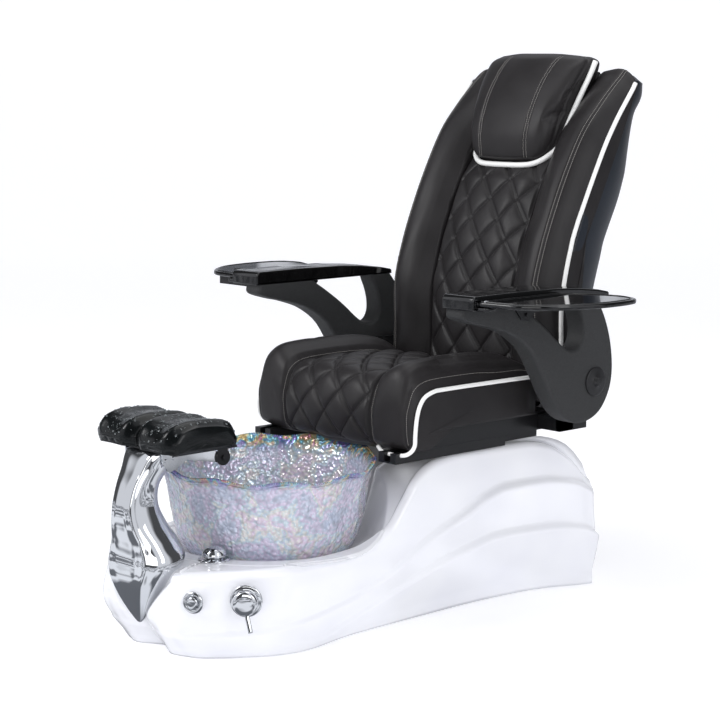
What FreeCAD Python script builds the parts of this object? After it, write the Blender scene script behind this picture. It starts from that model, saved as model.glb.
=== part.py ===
import FreeCAD, Part
import math
import os
import re
from types import SimpleNamespace

from FreeCAD import Placement, Rotation, Vector

# Pedicure spa chair. Millimetres, +Z up, the sitter faces -Y, the sitter's left hand is at +X.
# The origin is on the floor, in the middle of the base.

SIZES = {
    # white base
    "base_wall": 6, "base_nose": 622, "base_rear": 622, "deck_height": 206, "plinth_height": 396,
    "ground_half_width": 252, "deck_half_width": 268, "hip_half_width": 316,
    "pan_plate": 4, "pan_half_width": 190, "pan_front": 470, "pan_rear": 560,
    "post_side": 40, "post_half_gap": 150, "post_front_at": 200, "post_rear_at": 395,
    # glass bowl
    "bowl_at": -246, "bowl_rim_radius": 259, "bowl_belly_radius": 238, "bowl_seat_radius": 150,
    "bowl_rim_level": 399, "bowl_rim_tilt": 11, "bowl_bottom": 175, "bowl_glass": 8,
    "bowl_clearance": 26, "gasket_height": 3,
    "gasket_inner": 110, "drain_hole": 24, "drain_flange": 38, "drain_pipe_radius": 20,
    "drain_pipe_level": 55, "stopper_height": 6,
    # water jet under the bowl
    "jet_at": -150, "jet_motor_radius": 42, "jet_motor_height": 62, "jet_base_radius": 44,
    "jet_base_height": 5, "jet_cover_height": 26, "jet_shaft_radius": 4, "impeller_radius": 30,
    "impeller_height": 12, "running_gap": 0.05, "soft_gap": 0.3,
    # chrome column and foot rest
    "column_top": 467, "column_at": -575, "yoke_half_width": 66, "yoke_plate": 5,
    "tilt_at": -440, "tilt_height": 437, "tilt_disc": 19, "tilt_pin": 6,
    "foot_pad_inner": 5, "foot_pad_outer": 147, "foot_pad_front": -648, "foot_pad_rear": -442,
    "foot_pad_bottom": 474, "foot_pad_top": 530, "foot_pad_roll": 16, "carrier_plate": 6,
    # taps on the front of the base
    "knob_x": 172, "knob_y": -604, "knob_z": 145, "knob_flange": 25, "knob_button": 14,
    "mixer_x": 240.5, "mixer_y": -510, "mixer_z": 145, "mixer_flange": 37,
    "mixer_cap": 29, "mixer_cap_height": 26, "lever_length": 62, "lever_side": 9,
    "shower_x": 94, "shower_y": -485, "shower_flange": 38, "shower_head": 28.5,
    "shower_stem": 11, "shower_stem_length": 130,
    # seat slide
    "rail_outer": 259, "rail_width": 60, "rail_height": 24.7, "rail_front": -70, "rail_rear": 303,
    "runner_width": 20, "runner_front": 60, "runner_rear": 440, "rail_floor": 4,
    "seat_pan_front": 22, "seat_pan_rear": 470, "seat_pan_bottom": 421, "seat_pan_top": 468,
    "seat_pan_sheet": 6, "actuator_level": 440, "actuator_tube": 17, "actuator_rod": 8,
    "actuator_front": 92, "actuator_rear": 335,
    # seat cushion
    "seat_half_width": 288, "seat_quilt_half": 155, "seat_crest_half": 224, "seat_front": -72,
    "seat_rear": 389.5, "seat_skirt": 421.3, "seat_side_seam": 560, "seat_crest": 626,
    "seat_valley": 586, "seat_crown": 598, "quilt_depth": 5, "quilt_width": 7,
    "quilt_pitch_x": 94, "quilt_pitch_y": 114,
    # backrest
    "hinge_y": 500, "hinge_z": 455, "hinge_pin_radius": 10, "ear_plate": 12, "ear_half_gap": 192,
    "back_frame_plate": 8, "back_frame_half": 182, "shell_wall": 5, "shell_half_width": 270,
    "shell_rear_half": 214, "back_bottom": 490, "back_half_width": 288, "back_quilt_half": 150,
    "back_crest_half": 235, "back_crest_rise": 50, "back_crown": 12,
    "pillow_half_top": 170, "pillow_half_bottom": 122,
    # massage unit in the backrest
    "track_half_gap": 90, "track_radius": 8, "carriage_length": 90, "carriage_depth": 28,
    "carriage_half_width": 115, "roller_radius": 32, "roller_width": 34, "roller_offset": 50,
    "roller_axle": 8,
    # arms
    "arm_inner": 336, "arm_outer": 396, "arm_top": 768, "arm_pivot_y": 478, "arm_pivot_z": 553,
    "arm_pin_radius": 12, "arm_plate": 12, "pivot_cap_radius": 36,
    "pivot_cap_height": 4, "pivot_knob_radius": 9, "pivot_knob_height": 12,
    "board_outer": 436, "board_front": 3, "board_rear": 480, "board_front_top": 800,
    "board_rear_top": 779, "strut_plate": 5, "strut_bolt": 5,
    # trays
    "tray_reach": 655, "tray_bottom": 778, "tray_thickness": 12, "tray_pin": 6, "tray_eye": 15.2,
    "tray_pin_y": 30, "key_box_x": 500, "key_box_y": 98, "key_box_length": 110,
    "key_box_width": 84, "key_box_height": 24, "key_side": 15, "key_pitch": 22, "key_lift": 3,
    # service parts inside the base
    "power_box_length": 150, "power_box_height": 80, "inlet_width": 48,
    "inlet_height": 28, "inlet_level": 90, "pipe_radius": 7.5, "panel_width": 300,
    "panel_height": 130, "panel_level": 100,
}

doc = FreeCAD.newDocument("PedicureSpaChair")
sheet = doc.addObject("Spreadsheet::Sheet", "Sizes")
for row, (alias, value) in enumerate(SIZES.items(), start=1):
    sheet.set("A%d" % row, alias)
    sheet.set("B%d" % row, str(value))
    sheet.setAlias("B%d" % row, alias)
doc.recompute()
size = SimpleNamespace(**{alias: float(sheet.get(alias)) for alias in SIZES})

UP = Vector(0, 0, 1)
TURNS = {"x": Rotation(Vector(0, 1, 0), 90), "y": Rotation(Vector(1, 0, 0), -90), "z": Rotation()}
pieces = []


def formula(text):
    """A formula for the sheet: every size name in the text gets the sheet's name before it."""
    def named(word):
        return "Sizes." + word.group() if word.group() in SIZES else word.group()

    return re.sub(r"[a-z_]+", named, str(text))


def bind(item, **formulas):
    for prop, text in formulas.items():
        item.setExpression(prop.replace("__", "."), formula(text))
    return item


def place(item, x, y, z):
    return bind(item, Placement__Base__x=x, Placement__Base__y=y, Placement__Base__z=z)


def keep(item, node):
    """Label a finished sub-part: the label names its file."""
    item.Label = node
    pieces.append(item)
    return item


def on_side(side, low, high):
    """A span across the chair on one side, from distances measured from the middle."""
    return (low, high) if side > 0 else ("-(%s)" % high, "-(%s)" % low)


def block(name, x, y, z):
    """A box between pairs of formulas, low and high, on each axis."""
    item = doc.addObject("Part::Box", name)
    spans = ["(%s) - (%s)" % (high, low) for low, high in (x, y, z)]
    bind(item, Length=spans[0], Width=spans[1], Height=spans[2])
    return place(item, x[0], y[0], z[0])


def rod(name, radius, length, axis, x, y, z):
    """A round bar from (x, y, z) along an axis."""
    item = doc.addObject("Part::Cylinder", name)
    item.Placement = Placement(Vector(), TURNS[axis])
    bind(item, Radius=radius, Height=length)
    return place(item, x, y, z)


def joined(name, *parts):
    item = doc.addObject("Part::MultiFuse", name)
    item.Shapes = list(parts)
    return item


def cut(name, base, *tools):
    item = doc.addObject("Part::Cut", name)
    item.Base = base
    item.Tool = tools[0] if len(tools) == 1 else joined(name + "_tools", *tools)
    return item


def group(name, *parts):
    """Separate solids that share one node."""
    item = doc.addObject("Part::Compound", name)
    item.Links = list(parts)
    return item


def solid(name, shape, placement=None):
    """A shape worked out in code, kept as one object of the document."""
    item = doc.addObject("Part::Feature", name)
    item.Shape = shape
    if placement:
        item.Placement = placement
    return item


def outline_edges(start, steps, point=lambda a, b: Vector(a, b, 0)):
    """Lines and arcs from a start: a step is an end, or a middle and an end for an arc."""
    edges, here = [], start
    for step in steps:
        if len(step) == 2 and isinstance(step[0], tuple):
            edges.append(Part.Arc(point(*here), point(*step[0]), point(*step[1])))
            here = step[1]
        else:
            edges.append(Part.LineSegment(point(*here), point(*step)))
            here = step
    return edges


def wire(start, steps, point):
    return Part.Wire([edge.toShape() for edge in outline_edges(start, steps, point)])


def plate(name, role, start, steps, low, high):
    """A body with one outline on an origin plane, padded from low to high along its normal."""
    body = doc.addObject("PartDesign::Body", name)
    sketch = body.newObject("Sketcher::SketchObject", name + "_outline")
    plane = [item for item in body.Origin.OriginFeatures if item.Role == role][0]
    sketch.AttachmentSupport = [(plane, "")]
    sketch.MapMode = "FlatFace"
    bind(sketch, AttachmentOffset__Base__z=low)
    sketch.addGeometry(outline_edges(start, steps), False)
    pad = body.newObject("PartDesign::Pad", name + "_pad")
    pad.Profile = sketch
    bind(pad, Length="(%s) - (%s)" % (high, low))
    return body


def turned(name, start, steps, y):
    """A ring about a vertical axis at y: an outline of radius and height, turned once round."""
    profile = Part.Face(wire(start, steps, lambda r, z: Vector(r, 0, z)))
    return profile.revolve(Vector(), UP, 360).translated(Vector(0, y, 0))


def loft(wires, ruled=True):
    return Part.makeLoft(wires, True, ruled)


# Base shell: plan outlines at five heights, joined, then cut to the side view's top line.
def plan_outline(z, nose, rear, narrow, inset, lobe, notch):
    """Half widths along the base at one height. narrow takes the waist in, inset the wall; the
    nose has two lobes, lobe behind its front line, and between them a hollow, notch behind it."""
    front = nose + inset
    hip = size.hip_half_width - narrow - inset
    belly = size.deck_half_width - 0.6 * narrow - inset
    waist = size.ground_half_width + 30 - 1.5 * narrow - inset
    nose_half = 140 - inset
    back = rear - inset
    right = [(nose_half, front + 30), (belly - 30, front + 160), (belly, -330), (waist, 60),
             (hip - 4, back - 100), (hip, back - 45), (hip - 24, back)]
    left = [(-x, y) for x, y in reversed(right)]
    lobe_at, shoulder_at = 62, 101
    shoulder = front + 10 + lobe / 2
    steps = [(right[1], right[2]), (right[3], right[4]), (right[5], right[6]), left[0],
             (left[1], left[2]), (left[3], left[4]), (left[5], left[6]),
             ((-shoulder_at, shoulder), (-lobe_at, front + lobe)),
             ((0, front + notch), (lobe_at, front + lobe)),
             ((shoulder_at, shoulder), right[0])]
    return wire(right[0], steps, lambda x, y: Vector(x, y, z))


def base_body(inset):
    """The closed outer form of the base, drawn in by inset all round."""
    nose, rear = -size.base_nose, size.base_rear
    wires = [plan_outline(-60 if inset else 0, nose + 34, rear - 8, 22, inset, 0, 28),
             plan_outline(100, nose - 40, rear, 2, inset, 22, 40),
             plan_outline(size.deck_height, nose - 18, rear - 8, 0, inset, 4, 28),
             plan_outline(300, nose - 8, rear - 30, 4, inset, 4, 28),
             plan_outline(size.plinth_height + 20, nose, rear - 90, 24, inset, 4, 28)]
    deck, plinth = size.deck_height - inset, size.plinth_height - inset
    steps = [(-760, -100), (-760, 120), (-700, deck - 14), ((-660, deck - 3), (-610, deck)),
             (-250, deck), ((-110, deck + 30), (-30, deck + 88)), ((80, plinth - 21.8), (190, plinth)),
             (440, plinth), ((530, plinth - 32), (574, plinth - 92)), (660, deck - 60)]
    top_line = Part.Face(wire((660, -100), steps + [(660, -100)],
                              lambda y, z: Vector(-400, y, z)))
    return loft(wires).common(top_line.extrude(Vector(800, 0, 0)))


def bowl_space(extra):
    """What the bowl takes out of the base: a shallow dish with an upright wall above it."""
    wall = size.bowl_rim_radius + size.bowl_clearance + extra
    floor = size.bowl_bottom - size.gasket_height - extra
    rim = size.deck_height + 2 - extra
    steps = [(size.bowl_seat_radius + 20, floor), (wall - 20, rim), (wall, rim), (wall, 500),
             (0, 500), (0, floor)]
    return turned("space", (0, floor), steps, size.bowl_at)


outer = base_body(0)
hollow = base_body(size.base_wall).cut(bowl_space(size.base_wall))
base_solid = outer.cut(bowl_space(0))
drain_way = turned("way", (0, 100), [(size.drain_flange, 100), (size.drain_flange, 260), (0, 260),
                                     (0, 100)], size.bowl_at)
rear_way = Part.makeBox(size.panel_width, 60, size.panel_height,
                        Vector(-size.panel_width / 2, 580, size.panel_level))
inlet_way = Part.makeBox(size.inlet_width, 60, size.inlet_height,
                         Vector(-230 - size.inlet_width / 2, 580, size.inlet_level))
shower_way = Part.makeCylinder(size.shower_stem + 2, 200, Vector(size.shower_x, size.shower_y, 100))


def face_turn(x, y):
    """The turn that points +Z out of the base's front side at a tap, level with the floor."""
    heading = math.degrees(math.atan2(y - size.bowl_at, x))
    return Rotation(UP, heading) * Rotation(Vector(0, 1, 0), 90)


def tap_place(x, y, z):
    return Placement(Vector(x, y, z), face_turn(x, y))


knob_place = tap_place(size.knob_x, size.knob_y, size.knob_z)
mixer_place = tap_place(size.mixer_x, size.mixer_y, size.mixer_z)


def tap_way(radius, placement):
    way = Part.makeCylinder(radius, 120, Vector(0, 0, -80))
    way.Placement = placement
    return way


shell_shape = base_solid.cut(hollow)
for way in (drain_way, rear_way, inlet_way, shower_way, tap_way(size.knob_button + 2, knob_place),
            tap_way(size.mixer_cap - 8, mixer_place)):
    shell_shape = shell_shape.cut(way)
keep(solid("BaseShell", shell_shape), "base_shell")

# Steel floor pan and the frame that carries the seat rails through the plinth.
keep(block("FloorPan", ("-pan_half_width", "pan_half_width"), ("-pan_front", "pan_rear"),
           (0, "pan_plate")), "floor_pan")
posts = []
for side in (-1, 1):
    for at in ("post_front_at", "post_rear_at"):
        x = "%d * post_half_gap" % side
        posts.append(block("Post", (x + " - post_side / 2", x + " + post_side / 2"),
                           (at, at + " + post_side"),
                           ("pan_plate", "plinth_height - base_wall")))
keep(group("SupportPosts", *posts), "support_posts")

# Glass bowl on its gasket, with the drain and its stopper.
bowl_outer = [((size.bowl_seat_radius + 46, 188), (226, 240)),
              ((size.bowl_belly_radius, 300), (243, 352)),
              ((size.bowl_rim_radius - 8, 370), (size.bowl_rim_radius, 393))]
glass = size.bowl_glass
bowl_inner = [((size.bowl_rim_radius - 14, 376), (243 - glass, 352)),
              ((size.bowl_belly_radius - glass, 300), (226 - glass, 243)),
              ((size.bowl_seat_radius + 38, 196), (size.bowl_seat_radius - 4,
                                                   size.bowl_bottom + glass))]
lip_radius, lip_top = size.bowl_rim_radius + 1, size.bowl_rim_level + 2 * size.bowl_rim_tilt
bowl_line = ([(size.bowl_seat_radius, size.bowl_bottom)] + bowl_outer
             + [(lip_radius, lip_top), (lip_radius - glass, lip_top),
                (size.bowl_rim_radius - glass, 395)] + bowl_inner
             + [(size.drain_hole, size.bowl_bottom + glass), (size.drain_hole, size.bowl_bottom)])
bowl = turned("bowl", (size.drain_hole, size.bowl_bottom), bowl_line, size.bowl_at)
rim_heading, rim_slope = math.radians(140), size.bowl_rim_tilt / size.bowl_rim_radius
rim_normal = Vector(-rim_slope * math.cos(rim_heading), -rim_slope * math.sin(rim_heading), 1)
above_rim = Part.makeBox(700, 700, 100, Vector(-350, -350, 0))
above_rim.Placement = Placement(Vector(0, size.bowl_at, size.bowl_rim_level),
                                Rotation(UP, rim_normal))
keep(solid("Bowl", bowl.cut(above_rim)), "glass_bowl")
gasket_low = size.bowl_bottom - size.gasket_height
gasket_line = [(size.bowl_seat_radius, gasket_low), (size.bowl_seat_radius, size.bowl_bottom),
               (size.gasket_inner, size.bowl_bottom), (size.gasket_inner, gasket_low)]
keep(solid("Gasket", turned("gasket", (size.gasket_inner, gasket_low), gasket_line, size.bowl_at)),
     "bowl_gasket")

drain_top = "bowl_bottom + bowl_glass"
drain_body = joined("DrainBody",
                    rod("DrainFlange", "drain_flange - 6", 3, "z", 0, "bowl_at", drain_top),
                    rod("DrainTail", "drain_hole - 1", "bowl_glass + 63", "z", 0, "bowl_at",
                        drain_top + " - bowl_glass - 60"),
                    rod("DrainNut", "drain_flange - 5", 10, "z", 0, "bowl_at", "bowl_bottom - 10"))
drain_bore = rod("DrainBore", "drain_hole - 5", 100, "z", 0, "bowl_at", "bowl_bottom - 70")
keep(cut("Drain", drain_body, drain_bore), "drain_fitting")
stopper = joined("Stopper",
                 rod("StopperHead", "drain_hole + 4", "stopper_height", "z", 0, "bowl_at",
                     drain_top + " + 3 + soft_gap"),
                 rod("StopperPlug", "drain_hole - 5 - soft_gap", 14, "z", 0, "bowl_at",
                     drain_top + " + 3 + soft_gap - 14"))
keep(stopper, "drain_stopper")

pipe_top = size.bowl_bottom - 60
pipe_bend = 50
pipe_path = outline_edges((size.bowl_at, pipe_top),
                          [(size.bowl_at, size.drain_pipe_level + pipe_bend),
                           ((size.bowl_at + pipe_bend * (1 - math.sqrt(0.5)),
                             size.drain_pipe_level + pipe_bend * (1 - math.sqrt(0.5))),
                            (size.bowl_at + pipe_bend, size.drain_pipe_level)),
                           (size.pan_rear - 30, size.drain_pipe_level)],
                          lambda y, z: Vector(0, y, z))
pipe_wire = Part.Wire([edge.toShape() for edge in pipe_path])


def pipe_section(radius):
    return Part.Wire([Part.Circle(Vector(0, size.bowl_at, pipe_top), UP, radius).toShape()])


pipe = pipe_wire.makePipeShell([pipe_section(size.drain_pipe_radius)], True, False)
pipe_bore = pipe_wire.makePipeShell([pipe_section(size.drain_pipe_radius - 3)], True, False)
keep(solid("DrainPipe", pipe.cut(pipe_bore)), "drain_pipe")

# Water jet: the motor under the dish turns the impeller in the bowl through the glass.
bowl_floor = "bowl_bottom + bowl_glass"
dish_under = "bowl_bottom - gasket_height - base_wall"
keep(rod("JetMotor", "jet_motor_radius", "jet_motor_height", "z", 0, "jet_at",
         dish_under + " - jet_motor_height"), "jet_motor")
jet_base = joined("JetBase",
                  rod("JetPlate", "jet_base_radius", "jet_base_height", "z", 0, "jet_at",
                      bowl_floor),
                  rod("JetShaft", "jet_shaft_radius", "jet_base_height + impeller_height + 4", "z",
                      0, "jet_at", bowl_floor))
keep(jet_base, "jet_base")
impeller = Part.makeCylinder(12, size.impeller_height)
for turn in range(4):
    blade = Part.makeBox(2 * size.impeller_radius, 3, size.impeller_height,
                         Vector(-size.impeller_radius, -1.5, 0))
    impeller = impeller.fuse(blade.rotated(Vector(), UP, 45 * turn))
impeller = impeller.cut(Part.makeCylinder(size.jet_shaft_radius + size.running_gap, 40))
impeller_level = size.bowl_bottom + size.bowl_glass + size.jet_base_height + 0.5
keep(solid("Impeller", impeller, Placement(Vector(0, size.jet_at, impeller_level), Rotation())),
     "jet_impeller")
cover_radius = size.jet_base_radius + 4
cover = Part.makeCylinder(cover_radius, size.jet_cover_height)
cover = cover.cut(Part.makeCylinder(size.jet_base_radius, size.jet_cover_height - 4))
for turn in range(8):
    slot = Part.makeBox(18, 6, 20, Vector(12, -3, size.jet_cover_height - 12))
    port = Part.makeCylinder(4, 20, Vector(cover_radius - 12, 0, 12), Vector(1, 0, 0))
    cover = cover.cut(slot.fuse(port).rotated(Vector(), UP, 45 * turn))
keep(solid("JetCover", cover, Placement(Vector(0, size.jet_at, size.bowl_bottom + glass),
                                        Rotation())), "jet_cover")

# Chrome column: rounded sections along a C-shaped line, cut to sit on the base's nose.
def rounded(x, y, corner, level, back):
    """A rounded rectangle of half widths x and y at a level, set back along Y."""
    side, depth = x - corner, y - corner
    bend = corner * math.sqrt(0.5)
    steps = [((side + bend, depth + bend), (side, y)), (-side, y),
             ((-side - bend, depth + bend), (-x, depth)), (-x, -depth),
             ((-side - bend, -depth - bend), (-side, -y)), (side, -y),
             ((side + bend, -depth - bend), (x, -depth)), (x, depth)]
    return wire((x, depth), steps, lambda a, b: Vector(a, b + back, level))


def column_sections():
    """Level above the floor, place along Y from the column's line, half width, half depth."""
    rise = size.column_top - 467
    return [(96, -42, 40, 22), (140, -50, 56, 34), (190, -38, 74, 56), (235, -26, 76, 70),
            (285, -42, 60, 58), (345, -54, 50, 46), (395, -44, 48, 40), (436 + rise / 2, -18, 58, 46),
            (458 + rise, 0, 65, 52)]


column = loft([rounded(half, deep, 0.7 * min(half, deep), level, size.column_at + back)
               for level, back, half, deep in column_sections()], False)
column_top = Part.makeBox(2 * size.yoke_half_width, 90, 9,
                          Vector(-size.yoke_half_width, size.column_at - 45, size.column_top - 9))
bowl_keep_out = Part.makeCylinder(size.bowl_rim_radius + 8, 260, Vector(0, size.bowl_at, 170))
column = column.fuse(column_top).cut(base_body(0)).cut(bowl_keep_out)
column = max(column.Solids, key=lambda item: item.Volume)
keep(solid("Column", column), "chrome_column")

# Steel yoke on the column, with the tilt hinge of the foot rest at its rear.
eye_low, eye_high = size.tilt_height - 13, size.tilt_height + 13
yoke_steps = [(-612, 467), (-608, 440), (-592, 420), (-566, 430), (-542, 444),
              (size.tilt_at - 4, eye_low), ((size.tilt_at + 10, size.tilt_height),
                                            (size.tilt_at - 4, eye_high)),
              (-500, 463), (-530, 467), (-560, 467)]
yokes = []
for side in (-1, 1):
    low, high = on_side(side, "yoke_half_width", "yoke_half_width + yoke_plate")
    yoke = plate("Yoke", "YZ_Plane", (-560, 467), yoke_steps, low, high)
    yokes.append(cut("YokePlate", yoke, rod("YokeBore", "tilt_pin + running_gap", 40, "x",
                                            low + " - 10", "tilt_at", "tilt_height")))
yoke_bolts = [rod("YokeBolt", 4.5, "yoke_plate + 3", "x",
                  on_side(side, "yoke_half_width", "yoke_half_width + yoke_plate + 3")[0],
                  at, level) for side in (-1, 1) for at, level in ((-600, 448), (-578, 452))]
keep(joined("Yokes", *yokes, *yoke_bolts), "footrest_yoke")

# Foot rest: two contoured pads on a plate that tilts about its rear edge.
tilt = ("tilt_at", "tilt_height")
carrier_low = "foot_pad_bottom - carrier_plate"
carrier_parts = [block("Carrier", ("-foot_pad_outer + 20", "foot_pad_outer - 20"),
                       ("foot_pad_front + 30", "foot_pad_rear"), (carrier_low, "foot_pad_bottom"))]
for side in (-1, 1):
    inner = "yoke_half_width + yoke_plate + soft_gap"
    span = on_side(side, inner, inner + " + yoke_plate")
    carrier_parts.append(rod("TiltDisc", "tilt_disc", "yoke_plate", "x", span[0], *tilt))
    carrier_parts.append(block("TiltEar", span, ("tilt_at - 15", "tilt_at + 12"),
                               ("tilt_height", carrier_low)))
    start = on_side(side, "yoke_half_width - 4", "yoke_half_width + 3 * yoke_plate")[0]
    carrier_parts.append(rod("TiltPin", "tilt_pin", "3 * yoke_plate + 4", "x", start, *tilt))
keep(joined("CarrierBody", *carrier_parts), "footrest_carrier")

low, top = size.foot_pad_bottom, size.foot_pad_top
front, rear, roll = size.foot_pad_front, size.foot_pad_rear, size.foot_pad_roll


def pad_section(x, drop, draw):
    """The side view of a foot pad at x, lowered by drop and drawn in by draw at both ends."""
    steps = [((front + draw, low + 14), (front + draw + 6, top - drop - 6)),
             ((front + draw + 24, top - drop + 4), (front + 60, top - drop - 4)),
             ((front + 100, top - drop - 6), (rear - 66, top - drop + 4)),
             ((rear - 36, top - drop + roll), (rear - draw - 8, top - drop - 4)),
             ((rear - draw, low + 22), (rear - draw - 4, low)), (front + draw + 6, low)]
    return wire((front + draw + 6, low), steps, lambda y, z: Vector(x, y, z))


for side, hand in ((-1, "right"), (1, "left")):
    spans = [(size.foot_pad_inner, 16, 10), (size.foot_pad_inner + 16, 3, 2),
             (size.foot_pad_inner + 70, 5, 0), (size.foot_pad_outer - 16, -4, 2),
             (size.foot_pad_outer, 14, 12)]
    wires = [pad_section(side * x, drop, draw) for x, drop, draw in spans]
    keep(solid("FootPad", loft(wires)), "foot_pad_" + hand)

# Taps on the front side: an air push button and a mixer with a turning cap and a lifting lever.
def tapped(name, node, shape, placement):
    return keep(solid(name, shape, placement), node)


def ring(outer_radius, inner_radius, low_level, high_level):
    tall = high_level - low_level
    start = Vector(0, 0, low_level)
    return Part.makeCylinder(outer_radius, tall, start).cut(
        Part.makeCylinder(inner_radius, tall, start))


knob_bore = size.knob_button + size.running_gap
knob_barrel = ring(size.knob_button + 1.9, knob_bore, -40, 4)
knob_plate = ring(size.knob_flange, knob_bore, 4, 9)
knob_switch = Part.makeCylinder(size.knob_button + 8, 16, Vector(0, 0, -56))
tapped("KnobFlange", "button_flange", knob_barrel.fuse(knob_plate).fuse(knob_switch), knob_place)
tapped("KnobButton", "push_button", Part.makeCylinder(size.knob_button, 40, Vector(0, 0, -26)),
       knob_place)

mixer_bore = size.mixer_cap - 10
tapped("MixerFlange", "mixer_flange", ring(size.mixer_flange, mixer_bore, 3, 9)
       .fuse(ring(mixer_bore + 1.9, mixer_bore, -30, 3)), mixer_place)
stem_radius = 9
tapped("MixerBody", "mixer_valve", Part.makeCylinder(mixer_bore + 1.9, 46, Vector(0, 0, -76))
       .fuse(Part.makeCylinder(stem_radius, 36, Vector(0, 0, -34))), mixer_place)
cap = Part.makeCylinder(size.mixer_cap, size.mixer_cap_height, Vector(0, 0, 9 + size.soft_gap))
cap = cap.cut(Part.makeCylinder(stem_radius + size.running_gap, 12, Vector(0, 0, 0)))
slot_side = size.lever_side + 2
lever_slot = Part.makeBox(size.mixer_cap + 20, slot_side, 40, Vector(-2, -slot_side / 2, 16))
axle_radius = 3
axle_way = Part.makeCylinder(axle_radius + size.running_gap, 26, Vector(6, -13, 24),
                             Vector(0, 1, 0))
tapped("MixerCap", "mixer_cap", cap.cut(lever_slot).cut(axle_way), mixer_place)
lever = Part.makeBox(size.lever_length, size.lever_side, 7, Vector(1, -size.lever_side / 2, 20.5))
lever = lever.fuse(Part.makeCylinder(axle_radius, 24, Vector(6, -12, 24), Vector(0, 1, 0)))
tapped("MixerLever", "mixer_lever", lever, mixer_place)

# Pull-out hand shower in its holder beside the bowl.
shower_x, shower_y, deck = size.shower_x, size.shower_y, size.deck_height
holder = ring(size.shower_flange, size.shower_stem + size.running_gap, 0, 5)
holder = holder.fuse(ring(size.shower_stem + 1.9, size.shower_stem + size.running_gap, -40, 0))
shower_place = Placement(Vector(shower_x, shower_y, deck), Rotation())
keep(solid("ShowerHolder", holder, shower_place), "shower_holder")
head_low = 5 + size.soft_gap
head = Part.makeSphere(size.shower_head, Vector(0, 0, head_low)).common(
    Part.makeBox(90, 90, 40, Vector(-45, -45, head_low)))
head = head.fuse(Part.makeCylinder(size.shower_stem, size.shower_stem_length,
                                   Vector(0, 0, 6 - size.shower_stem_length)))
keep(solid("HandShower", head, shower_place), "hand_shower")

# Supply pipes, power box and rear panel.
def bent_pipe(name, points, radius):
    """Straight runs joined by tangent arcs, swept with a round section."""
    bend = 24
    edges, here = [], points[0]
    for corner, after in zip(points[1:-1], points[2:]):
        into, out = (corner - here).normalize(), (after - corner).normalize()
        start, end = corner - into * bend, corner + out * bend
        middle = corner + (out - into) * (bend * (1 - math.sqrt(0.5)))
        edges += [Part.LineSegment(here, start).toShape(), Part.Arc(start, middle, end).toShape()]
        here = end
    edges.append(Part.LineSegment(here, points[-1]).toShape())
    section = Part.Wire([Part.Circle(points[0], (points[1] - points[0]).normalize(),
                                     radius).toShape()])
    return solid(name, Part.Wire(edges).makePipeShell([section], True, False))


pipe_front, pipe_rear = -320, 520
pipes = []
for lane, level in ((70, 34), (122, 64)):
    points = [Vector(lane, pipe_front, 118), Vector(lane, pipe_front, level),
              Vector(lane, pipe_rear, level)]
    pipes.append(bent_pipe("Pipe", points, size.pipe_radius))
manifold = block("Manifold", (50, 150), (pipe_front - 20, pipe_front + 20), (118, 142))
keep(group("SupplyPipes", manifold, *pipes), "supply_pipes")
box_at = -172
keep(block("PowerBox", (box_at, box_at + size.power_box_length - 10), (470, 550),
           ("pan_plate", "pan_plate + power_box_height")), "power_box")

# Seat rails on the plinth and the pan that slides on them.
rails, runners = [], []
for side in (-1, 1):
    rail_inner = "rail_outer - rail_width"
    rail_middle = "rail_outer - rail_width / 2"
    rail_span = ("rail_front", "rail_rear")
    rail = block("Rail", on_side(side, rail_inner, "rail_outer"), rail_span,
                 ("plinth_height", "plinth_height + rail_height"))
    groove = block("RailGroove", on_side(side, rail_middle + " - runner_width / 2",
                                         rail_middle + " + runner_width / 2"),
                   ("rail_front - 5", "rail_rear + 5"),
                   ("plinth_height + rail_floor", "plinth_height + rail_height + 5"))
    keep(cut("SeatRail", rail, groove), "rail_left" if side > 0 else "rail_right")
    runners.append(block("Runner", on_side(side, rail_middle + " - runner_width / 2 + soft_gap",
                                           rail_middle + " + runner_width / 2 - soft_gap"),
                         ("runner_front", "runner_rear"),
                         ("plinth_height + rail_floor + soft_gap", "seat_pan_bottom")))
tie = block("RailTie", ("-rail_outer + rail_width", "rail_outer - rail_width"), (250, 300),
            ("plinth_height", "plinth_height + 6"))

inside = "rail_outer - seat_pan_sheet"
pan_body = block("PanBody", ("-rail_outer", "rail_outer"), ("seat_pan_front", "seat_pan_rear"),
                 ("seat_pan_bottom", "seat_pan_top"))
pan_hollow = block("PanHollow", ("-rail_outer + rail_width", "rail_outer - rail_width"),
                   ("seat_pan_front + seat_pan_sheet", "seat_pan_rear + 10"),
                   ("seat_pan_bottom - 5", "seat_pan_top - seat_pan_sheet"))
pan_sides = [block("PanSide", ends, ("seat_pan_front + seat_pan_sheet", "seat_pan_rear - 6"),
                   ("seat_pan_bottom + seat_pan_sheet", "seat_pan_top - seat_pan_sheet"))
             for ends in (("rail_outer - rail_width + 6", inside),
                          ("-(%s)" % inside, "-rail_outer + rail_width - 6"))]
keep(joined("SeatPan", cut("PanSheet", pan_body, pan_hollow, *pan_sides), *runners), "seat_pan")

tube = cut("ActuatorTube",
           rod("ActuatorShell", "actuator_tube", "actuator_rear - actuator_front", "y", 0,
               "actuator_front", "actuator_level"),
           rod("ActuatorBore", "actuator_rod + running_gap", "actuator_rear - actuator_front - 8",
               "y", 0, "actuator_front - 2", "actuator_level"))
foot = block("ActuatorFoot", (-14, 14), (262, 288),
             ("plinth_height + 6", "actuator_level - actuator_tube + 2"))
keep(joined("SlideActuator", tube, foot, tie), "slide_actuator")
keep(rod("SlideRod", "actuator_rod", "240", "y", 0, "seat_pan_front + seat_pan_sheet",
         "actuator_level"), "slide_rod")

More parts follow.
